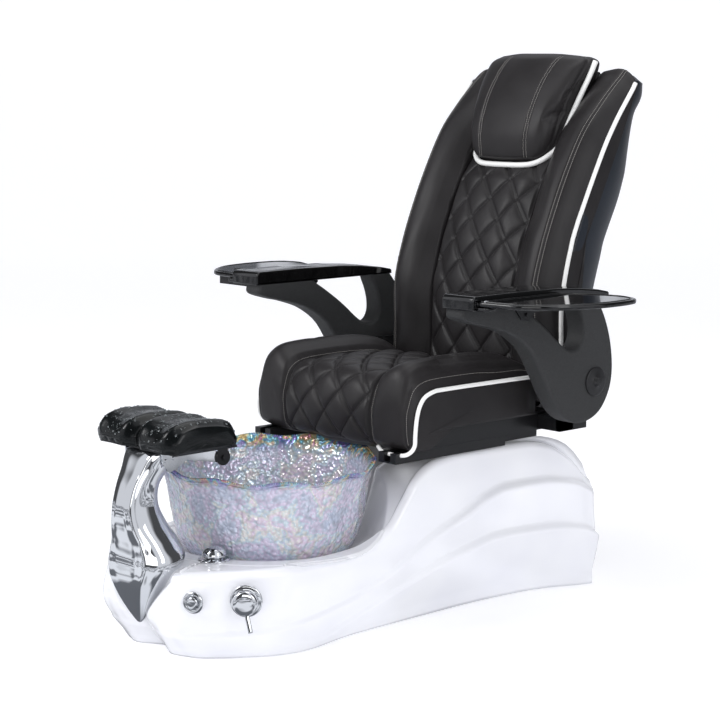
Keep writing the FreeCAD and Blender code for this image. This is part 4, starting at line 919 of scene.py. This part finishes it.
def head_pillow():
    """The pillow, with two double seams down its front and a white edge below and beside it."""
    z = np.linspace(1078, 1354, 140)
    half, front, rear = PILLOW_HALF(z), PILLOW_FRONT(z), PILLOW_REAR(z)
    deep = rear - front
    right = [(0.6 * half, rear), (half - 12, rear - 2), (half - 1, rear - 14),
             (half, front + 0.5 * deep), (half - 4, front + 0.33 * deep),
             (half - 14, front + 0.14 * deep), (0.76 * half, front + 2), (0.4 * half, front - 6)]
    left = [(-a, b) for a, b in right[::-1]]
    grid = sections(z, [(0, rear)] + right + [(0, front - 9)] + left, 360, (1, 2, 0))
    seam_x = np.interp(z, (1078, 1150, 1354), (78, 80, 88))[:, None]
    gap = abs(abs(grid[..., 0]) - seam_x)
    depth = grid[..., 1] - front[:, None]
    relief = groove(gap - 4, 2.2, 1.8) * (1 - smoothstep(0, 12, depth - 0.3 * deep[:, None])) \
        + groove(depth - 0.36 * deep[:, None], 5, 2.5)
    relief = relief * smoothstep(1084, 1096, z)[:, None]
    shape, normal = padded_piece("head_pillow_upholstered", grid, 6, relief, 3, LEATHER,
                                 "backrest", "head_pillow", axis=2)
    behind = shape[..., 1] >= (front + 0.4 * deep)[:, None]
    rows = np.arange(8, 138)
    lines = []
    for at in (-seam_x - 4, -seam_x + 4, seam_x - 4, seam_x + 4):
        column = np.argmin(abs(shape[..., 0] - at) + 1e3 * behind, 1)[rows]
        lines.append(shape[rows, column] + normal[rows, column] * 0.4)
    stitches("pillow_stitching", lines, "backrest", radius=0.7)
    side = [(PILLOW_HALF(level) + 4,
             0.4 * PILLOW_FRONT(level) + 0.6 * PILLOW_REAR(level), level)
            for level in (1338, 1300, 1260, 1200, 1150, 1120)]
    side += [(128, 590, 1096), (104, 573, 1080), (70, 562, 1073)]
    path = side + [(0, 557, 1072)] + [(-a, b, c) for a, b, c in side[::-1]]
    tube("pillow_piping", evenly(through(path, 900), spacing=5), (0, 1, 0.4), 7.2, PIPING,
         "backrest")


head_pillow()


# Moulded back shell.

SHELL_REAR = [(600, 486), (640, 560), (670, 640), (702, 749), (727, 826), (737, 864), (756, 902),
              (791, 967), (809, 1018), (816, 1057), (817, 1162), (823, 1200), (843, 1226),
              (849, 1248), (836, 1276)]


def back_shell():
    """Plans up the back: from the piping on one side round the rear to the other side, rounded as
    a superellipse; the last rows close the top."""
    count, columns = 200, 140
    front = (0.7 * SEAM + 0.3 * CREST)[np.linspace(0, 900, count).astype(int)]
    rear = evenly(through(SHELL_REAR, 900), count)
    turn = np.linspace(0, math.pi, columns)
    across = 289.5 * np.sign(np.cos(turn)) * abs(np.cos(turn)) ** 0.55
    side_view = front[:, None] + (rear - front)[:, None] * (np.sin(turn) ** 0.85)[None, :, None]
    grid = spread(across[None, :, None], side_view)
    last, middle = grid[-1], np.array([0, 776, 1294.0])
    top = [last * (1 - share) + (last * [0.86, 0, 0] + middle) * share
           + [0, 0, 9 * math.sin(share * math.pi / 2)] for share in np.linspace(0, 1, 12)[1:]]
    grid = rounded_off(np.concatenate([grid, top]))
    piece = skin("moulded_back_shell", grid, [net(*grid.shape[:2], around=False)], SHELL,
                 "backrest")
    walled(piece, 0.004)
    dressed(piece, "back_shell")


back_shell()


# Foot rest pads.

def foot_pad(side, hand):
    """Side views across one pad: a rolled rim round a dished top, wet and beaded."""
    x = np.linspace(5, 147, 72)
    edge = np.minimum(x - 5, 147 - x)
    drop = 15 * (1 - smoothstep(-4, 24, edge)) + 7 * smoothstep(20, 58, edge)
    draw = 16 * (1 - smoothstep(-6, 34, edge))
    front, rear, low = -648 + draw, -442 - draw, 474
    knots = [(front + 12, low), (front + 3, low + 4), (front, low + 22), (front + 5, 518 - drop),
             (front + 24, 534 - drop)]
    knots += [(front + (rear - front) * share, level - drop)
              for share, level in ((0.32, 542), (0.5, 542), (0.7, 539), (0.86, 533))]
    knots += [(rear - 10, 522 - drop), (rear, 500 - 0.5 * drop), (rear - 2, 482), (rear - 12, low),
              ((front + rear) / 2, low)]
    grid = sections(x, knots, 200)
    grid[..., 0] *= side
    node = "foot_pad_" + hand
    shape, normal = padded_piece(node + "_padded", grid, 1.5, np.zeros(grid.shape[:2]), 3, WET,
                                 "footrest", node)
    beads(shape, normal, hand)


def beads(shape, normal, hand):
    """Drops of water: flattened domes scattered over the upper side of a pad."""
    choice = np.random.default_rng(7 if hand == "left" else 11)
    rows = choice.integers(4, shape.shape[0] - 4, 900)
    columns = choice.integers(0, shape.shape[1], 900)
    up = normal[rows, columns, 2] > 0.25
    at, out = shape[rows, columns][up][:230], normal[rows, columns][up][:230]
    size = 0.9 + 2.6 * choice.random((len(at), 1)) ** 3
    dome = rings(at, out, size * [-0.15, 0.3, 0.55], size * [1.0, 0.85, 0.4], 8, (0.3, 0.9, 0.2))
    piece = skin("water_beads_" + hand, dome, bead_faces(len(at), 3, 8), WATER, "footrest")


for way, hand in HANDS:
    foot_pad(way, hand)


# Arms, boards and trays.

def slab(name, outline, low, high, rim, body, across="x"):
    """A gloss plate with a rounded rim: a closed outline, moved in along its own normals by
    rim (1 - sin t) as it nears each face, so that the edge is a quarter round."""
    p = evenly(outline, spacing=2.5, closed=True)
    tangent = unit(np.roll(p, -1, 0) - np.roll(p, 1, 0))
    inward = np.stack([-tangent[:, 1], tangent[:, 0]], 1)
    x, y = p.T
    if (x * np.roll(y, -1) - y * np.roll(x, -1)).sum() < 0:
        inward = -inward
    turn = np.linspace(0, math.pi / 2, 5)
    inset = np.append(rim + 1.2, rim * (1 - np.sin(turn)))
    rise = np.append(0, rim * (1 - np.cos(turn)))
    flat = p[None] + inward[None] * np.append(inset, inset[::-1])[:, None, None]
    level = np.append(low + rise, (high - rise)[::-1])[:, None, None]
    grid = spread(level, flat)
    if across == "z":
        grid = grid[..., [1, 2, 0]]
    rows, columns = grid.shape[:2]
    rim_line = np.arange(columns)[None]
    return skin(name, grid, [net(rows, columns), rim_line[:, ::-1],
                             (rows - 1) * columns + rim_line], GLOSS, body)


ARM_AT, ARM_HALF, ARM_EDGE = 366, 30, 11
TRAY_LEVEL = 778
ARM_PAIRS = [((12, 767.5), (200, 767.5)), ((14, 745), (216, 757)), ((60, 729), (236, 745)),
             ((120, 715), (262, 728)), ((185, 692), (290, 709)), ((245, 650), (318, 688)),
             ((290, 586), (342, 668)), ((328, 524), (362, 653)), ((366, 478), (380, 643)),
             ((410, 456), (397, 640)), ((455, 455), (413, 642)), ((500, 474), (427, 653)),
             ((532, 514), (435, 672)), ((546, 562), (435, 695)), ((544, 620), (430, 716)),
             ((530, 678), (423, 734)), ((506, 730), (414, 752)), ((478, 767.5), (408, 767.5))]
BOARD_LINE = [(480, 768), (480, 780), (440, 788), (370, 796), (290, 801), (150, 803), (10, 802),
              (3, 796), (3, 768)]
PIVOT_CAP = [(-1, 3), (0, 30), (1, 35), (3, 36), (4, 35.3), (4.6, 32), (5.2, 30), (5.2, 14),
             (7, 12.5), (9, 12), (10, 10), (15, 9.2), (16, 8), (16, 3)]
TRAY_PIN = [(770, 2), (770, 6), (791, 6), (792.5, 5), (793, 2)]
TRAY_LINE = [(436.8, 30), (439, 18), (448, 14.8), (470, 18), (540, 30), (585, 62), (622, 110),
             (642, 165), (653, 230), (650, 300), (638, 338), (612, 356), (585, 361), (556, 357),
             (510, 336), (470, 312), (440, 294), (436.8, 284)]


def rounded_box(half, other, radius, steps=7):
    """Corners of a rounded rectangle, one for each half width: (n, 4 steps, 2)."""
    half = np.asarray(half, float)[:, None]
    parts = []
    for quarter, (a, b) in enumerate(((1, 1), (-1, 1), (-1, -1), (1, -1))):
        turn = np.linspace(0, math.pi / 2, steps) + quarter * math.pi / 2
        x = a * (half - radius) + radius * np.cos(turn)
        parts.append(np.stack(np.broadcast_arrays(x, b * (other - radius)
                                                  + radius * np.sin(turn)), -1))
    return np.concatenate(parts, 1)


def arm(side, hand):
    """The arm panel with its window, the board on it, the tray, and the disc over its pivot."""
    body = hand + "_arm"
    pair = through(ARM_PAIRS, 200)
    reach = (pair[:, 1] - pair[:, 0]) / 2
    box = rounded_box(np.linalg.norm(reach, axis=1), ARM_HALF, ARM_EDGE)
    flat = pair.mean(1)[:, None] + unit(reach)[:, None] * box[..., :1]
    grid = spread(side * (ARM_AT + box[..., 1:]), flat)
    panel = closed_skin("arm_panel_" + hand, grid, ARM, body)
    disc = turned("arm_pivot_cap_" + hand, PIVOT_CAP, (side * (ARM_AT + ARM_HALF), 478, 553),
                  (side, 0, 0), NYLON, body)
    board = slab("arm_board_" + hand, rounded_line(BOARD_LINE, 6),
                 *sorted((side * 336, side * 436)), 3.5, body)
    square = [(side * x, y) for x, y in ((434, 13), (470, 13), (470, 47), (434, 47))]
    lug = slab("tray_lug_" + hand, rounded_line(square, 9), 768.5, 777.2, 1.5, body, across="z")
    pin = turned("tray_pin_" + hand, TRAY_PIN, (side * 452, 30, 0), (0, 0, 1), BRUSHED, body,
                 sides=32)
    plan = through(np.array(TRAY_LINE) * [side, 1], 500, closed=True)
    top = slab("swing_tray_" + hand, plan, TRAY_LEVEL, TRAY_LEVEL + 12, 4, hand + "_tray",
               across="z")
    rim = evenly(plan, spacing=4, closed=True)
    rim = rim.mean(0) + (rim - rim.mean(0)) * 0.93
    edge = tube("tray_rim_" + hand, np.column_stack([rim, np.full(len(rim), TRAY_LEVEL + 12.2)]),
                (0, 0, 1), 1.6, GLOSS, hand + "_tray", closed=True, sides=8)
    for node, slot, pieces in (("arm_", "arm_plastic", (panel, disc)),
                               ("board_", "black_gloss", (board, lug, pin)),
                               ("tray_", "black_gloss", (top, edge))):
        for piece in pieces:
            dressed(piece, node + hand)


for way, hand in HANDS:
    arm(way, hand)


# Taps on the base.

def tap_frame(x, y, z):
    """A tap's place on the base and its axis: level, away from the basin's middle."""
    return np.array([x, y, z], float), unit(np.array([x, y - BASIN_AT, 0.0]))


BUTTON, MIXER = tap_frame(172, -604, 145), tap_frame(240.5, -510, 145)
SHOWER = (94, -485, DECK), (0, 0, 1)

def fitting(name, node, body, place, outline):
    """A turned chrome piece at its place and about its axis."""
    dressed(turned(name, outline, *place, CHROME, body), node)


def mixer_handle():
    """The mixer's lever: a flattened bar that bends down and a little aside."""
    at, out = MIXER
    share = np.linspace(0, 1, 24)[:, None]
    aside = np.array([-out[1], out[0], 0])
    line = at + out * (24 + 14 * share ** 1.5) + aside * 14 * share - [0, 0, 1] * (10 + 54 * share)
    profile = rounded_box(np.linspace(4.4, 3.2, 24), 5.2, 2.6, steps=5)
    piece = closed_skin("mixer_handle", carried(line, out, profile), CHROME, "lever")
    dressed(piece, "mixer_lever")


fitting("push_button_rose", "button_flange", "base", BUTTON,
        [(2, 15), (4, 24), (6, 25.2), (8.5, 24.5), (10, 21.5), (10.4, 18), (9.8, 16.2), (2, 15.6)])
fitting("push_button_cap", "push_button", "button", BUTTON,
        [(-24, 2), (-24, 13.6), (11, 13.9), (13.2, 13.2), (14.2, 11.5), (14.6, 8), (14.8, 2)])
fitting("mixer_rose", "mixer_flange", "base", MIXER,
        [(3, 20), (4, 35), (6, 37), (8, 36), (9, 33), (9.2, 20)])
fitting("mixer_knob", "mixer_cap", "mixer_top", MIXER,
        [(9.6, 3), (9.6, 26), (10.4, 28.4), (12, 29), (28, 28.6), (32, 27.2), (34.5, 23.5),
         (35.8, 16), (36.2, 3)])
mixer_handle()
fitting("shower_collar", "shower_holder", "base", SHOWER,
        [(-38, 13.6), (0, 13.6), (0.4, 36), (1.6, 38), (3.6, 37.4), (5, 34), (5.2, 13.6)])
fitting("shower_head", "hand_shower", "shower", SHOWER,
        [(-118, 2), (-118, 11), (4, 11), (6, 22), (9, 23), (10.5, 27.6), (12.5, 28.4), (16, 28),
         (22, 25.6), (28, 20.8), (32, 14.5), (34, 8), (34.6, 2)])


# Finishes on the pieces taken over as they are.

CARRIED = {
    CHROME: ["drain_stopper", "drain_fitting", "footrest_yoke"],
    BRUSHED: ["slide_rod", "massage_track", "mixer_valve"],
    PAINTED: ["footrest_carrier", "seat_pan", "seat_brackets", "rail_left", "rail_right",
              "support_posts", "back_frame", "floor_pan", "strut_left", "strut_right",
              "slide_actuator"],
    NYLON: ["key_box", "key_1", "key_2", "key_3", "key_4", "massage_carriage", "power_box",
            "power_inlet", "jet_motor", "jet_impeller"],
    RUBBER: ["bowl_gasket", "massage_rollers"],
    WHITE: ["access_panel"],
    POLY: ["jet_base", "jet_cover", "drain_pipe", "supply_pipes"],
}

for material, nodes in CARRIED.items():
    for node in nodes:
        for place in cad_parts[node].material_slots:
            place.material = material


# Camera, floor and light.

def camera():
    """A long lens, a little above the seat, from the front and the sitter's left."""
    rise, distance, target = math.radians(8.17), 4.923, Vector((0.0133, 0.0411, 0.6086))
    away = Vector((math.sin(VIEW_HEADING) * math.cos(rise),
                   -math.cos(VIEW_HEADING) * math.cos(rise), math.sin(rise)))
    data = bpy.data.cameras.new("view")
    data.lens, data.sensor_width = 100, 36
    data.clip_start, data.clip_end = 0.1, 60
    view = placed("view", data)
    view.location = target + away * distance
    view.rotation_euler = (-away).to_track_quat("-Z", "Y").to_euler()
    bpy.context.scene.camera = view


def floor():
    """A pale sheet in metres: level round the chair, it rises far behind in one long curve.
    In glossy reflections it shows painted dark clouds and a dimmer glow, a painted reflection.
    """
    half, level_end, radius, top = 9, 9.5, 3, 8
    flat = np.stack([np.linspace(-half, level_end, 40), np.zeros(40)], 1)
    turn = np.linspace(0, math.pi / 2, 20)[1:]
    bend = np.stack([level_end + radius * np.sin(turn), radius - radius * np.cos(turn)], 1)
    line = np.concatenate([flat, bend, [(level_end + radius, top)]])
    across = np.array([math.cos(VIEW_HEADING), math.sin(VIEW_HEADING)])
    ahead = np.array([-across[1], across[0]])
    side = np.linspace(-half, half, 30)
    plan = line[:, None, :1] * ahead + side[None, :, None] * across
    grid = spread(plan, line[:, None, 1:])
    material, tree, shader, place = finish("matt_paper_sweep", "#f4f4f6", 0.9,
                                           Emission_Color=(1, 1, 1, 1), Emission_Strength=0.22)
    tooth = noise(tree, place, 60.0, 3.0)
    pale = tinted(tree, shader, tooth, "#f3f3f5", "#f6f6f8")
    # Painted reflection: glossy rays see the sheet as dark grey clouds with a dimmer glow, which
    # shows as dark bands on chrome and gloss.
    mirrored = add(tree, "LightPath").outputs["Is Glossy Ray"]
    cloud = noise(tree, place, 2.6, 1.0)
    dark = tinted(tree, shader, cloud, "#5f6268", "#eceef2", 0.44, 0.56)
    painted_reflection_tone = add(tree, "Mix", {"data_type": "RGBA"}, _0=mirrored, _6=pale, _7=dark)
    join(tree, painted_reflection_tone.outputs[2], shader.inputs["Base Color"])
    glow = add(tree, "MapRange", {"To Min": 0.22, "To Max": 0.02}, Value=mirrored)
    join(tree, glow, shader.inputs["Emission Strength"])
    made_of("paper_sweep", grid / MM, [net(len(line), 30, around=False)], material)


def lamp(name, place, target, size, power):
    """A soft rectangular lamp, size in metres, turned to a target."""
    data = bpy.data.lights.new(name, "AREA")
    data.shape, data.energy = "RECTANGLE", power
    data.size, data.size_y = size
    light = placed(name, data)
    light.location = place
    light.rotation_euler = (Vector(target) - Vector(place)).to_track_quat("-Z", "Y").to_euler()


def sky():
    """Even white light on matt surfaces; gloss sees a dim room with bright upright panels."""
    world = bpy.data.worlds.new("studio")
    world.use_nodes = True
    bpy.context.scene.world = world
    tree = world.node_tree
    even = tree.nodes["Background"]
    even.inputs["Color"].default_value = linear("#f6f7fb")
    even.inputs["Strength"].default_value = 0.86
    way = add(tree, "TexCoord").outputs["Generated"]
    turned_to = add(tree, "Mapping", {"Rotation": (0, 0, 0.5)}, Vector=way)
    parts = add(tree, "SeparateXYZ", Vector=turned_to)
    heading = add(tree, "Math", {"operation": "ARCTAN2"}, _0=parts.outputs["Y"],
                  _1=parts.outputs["X"])
    lobes = add(tree, "Math", {"operation": "MULTIPLY", 1: 3.0}, _0=heading)
    swing = add(tree, "Math", {"operation": "SINE"}, _0=lobes)
    panel = add(tree, "MapRange", {"From Min": -0.25, "From Max": 0.15, "To Min": 0.1,
                                   "To Max": 0.95}, Value=swing)
    room = add(tree, "Background", Strength=panel)
    room.inputs["Color"].default_value = linear("#f2f4fa")
    path = add(tree, "LightPath")
    mixed = add(tree, "MixShader", Fac=path.outputs["Is Glossy Ray"])
    join(tree, even, mixed.inputs[1])
    join(tree, room, mixed.inputs[2])
    join(tree, mixed, tree.nodes["World Output"].inputs["Surface"])


camera()
floor()
sky()
lamp("key", (-1.4, -3.4, 3.2), (0, 0, 0.6), (1.6, 1.6), 62)
lamp("side", (3.6, -0.4, 2.0), (0, 0.1, 0.7), (1.0, 2.0), 16)
lamp("top", (0.2, 0.6, 4.0), (0, 0.1, 0.4), (2.2, 2.2), 24)
lamp("fill", (2.6, -3.0, 1.1), (0, -0.1, 0.35), (2.0, 1.0), 14)
bpy.context.scene.view_settings.view_transform = "Standard"
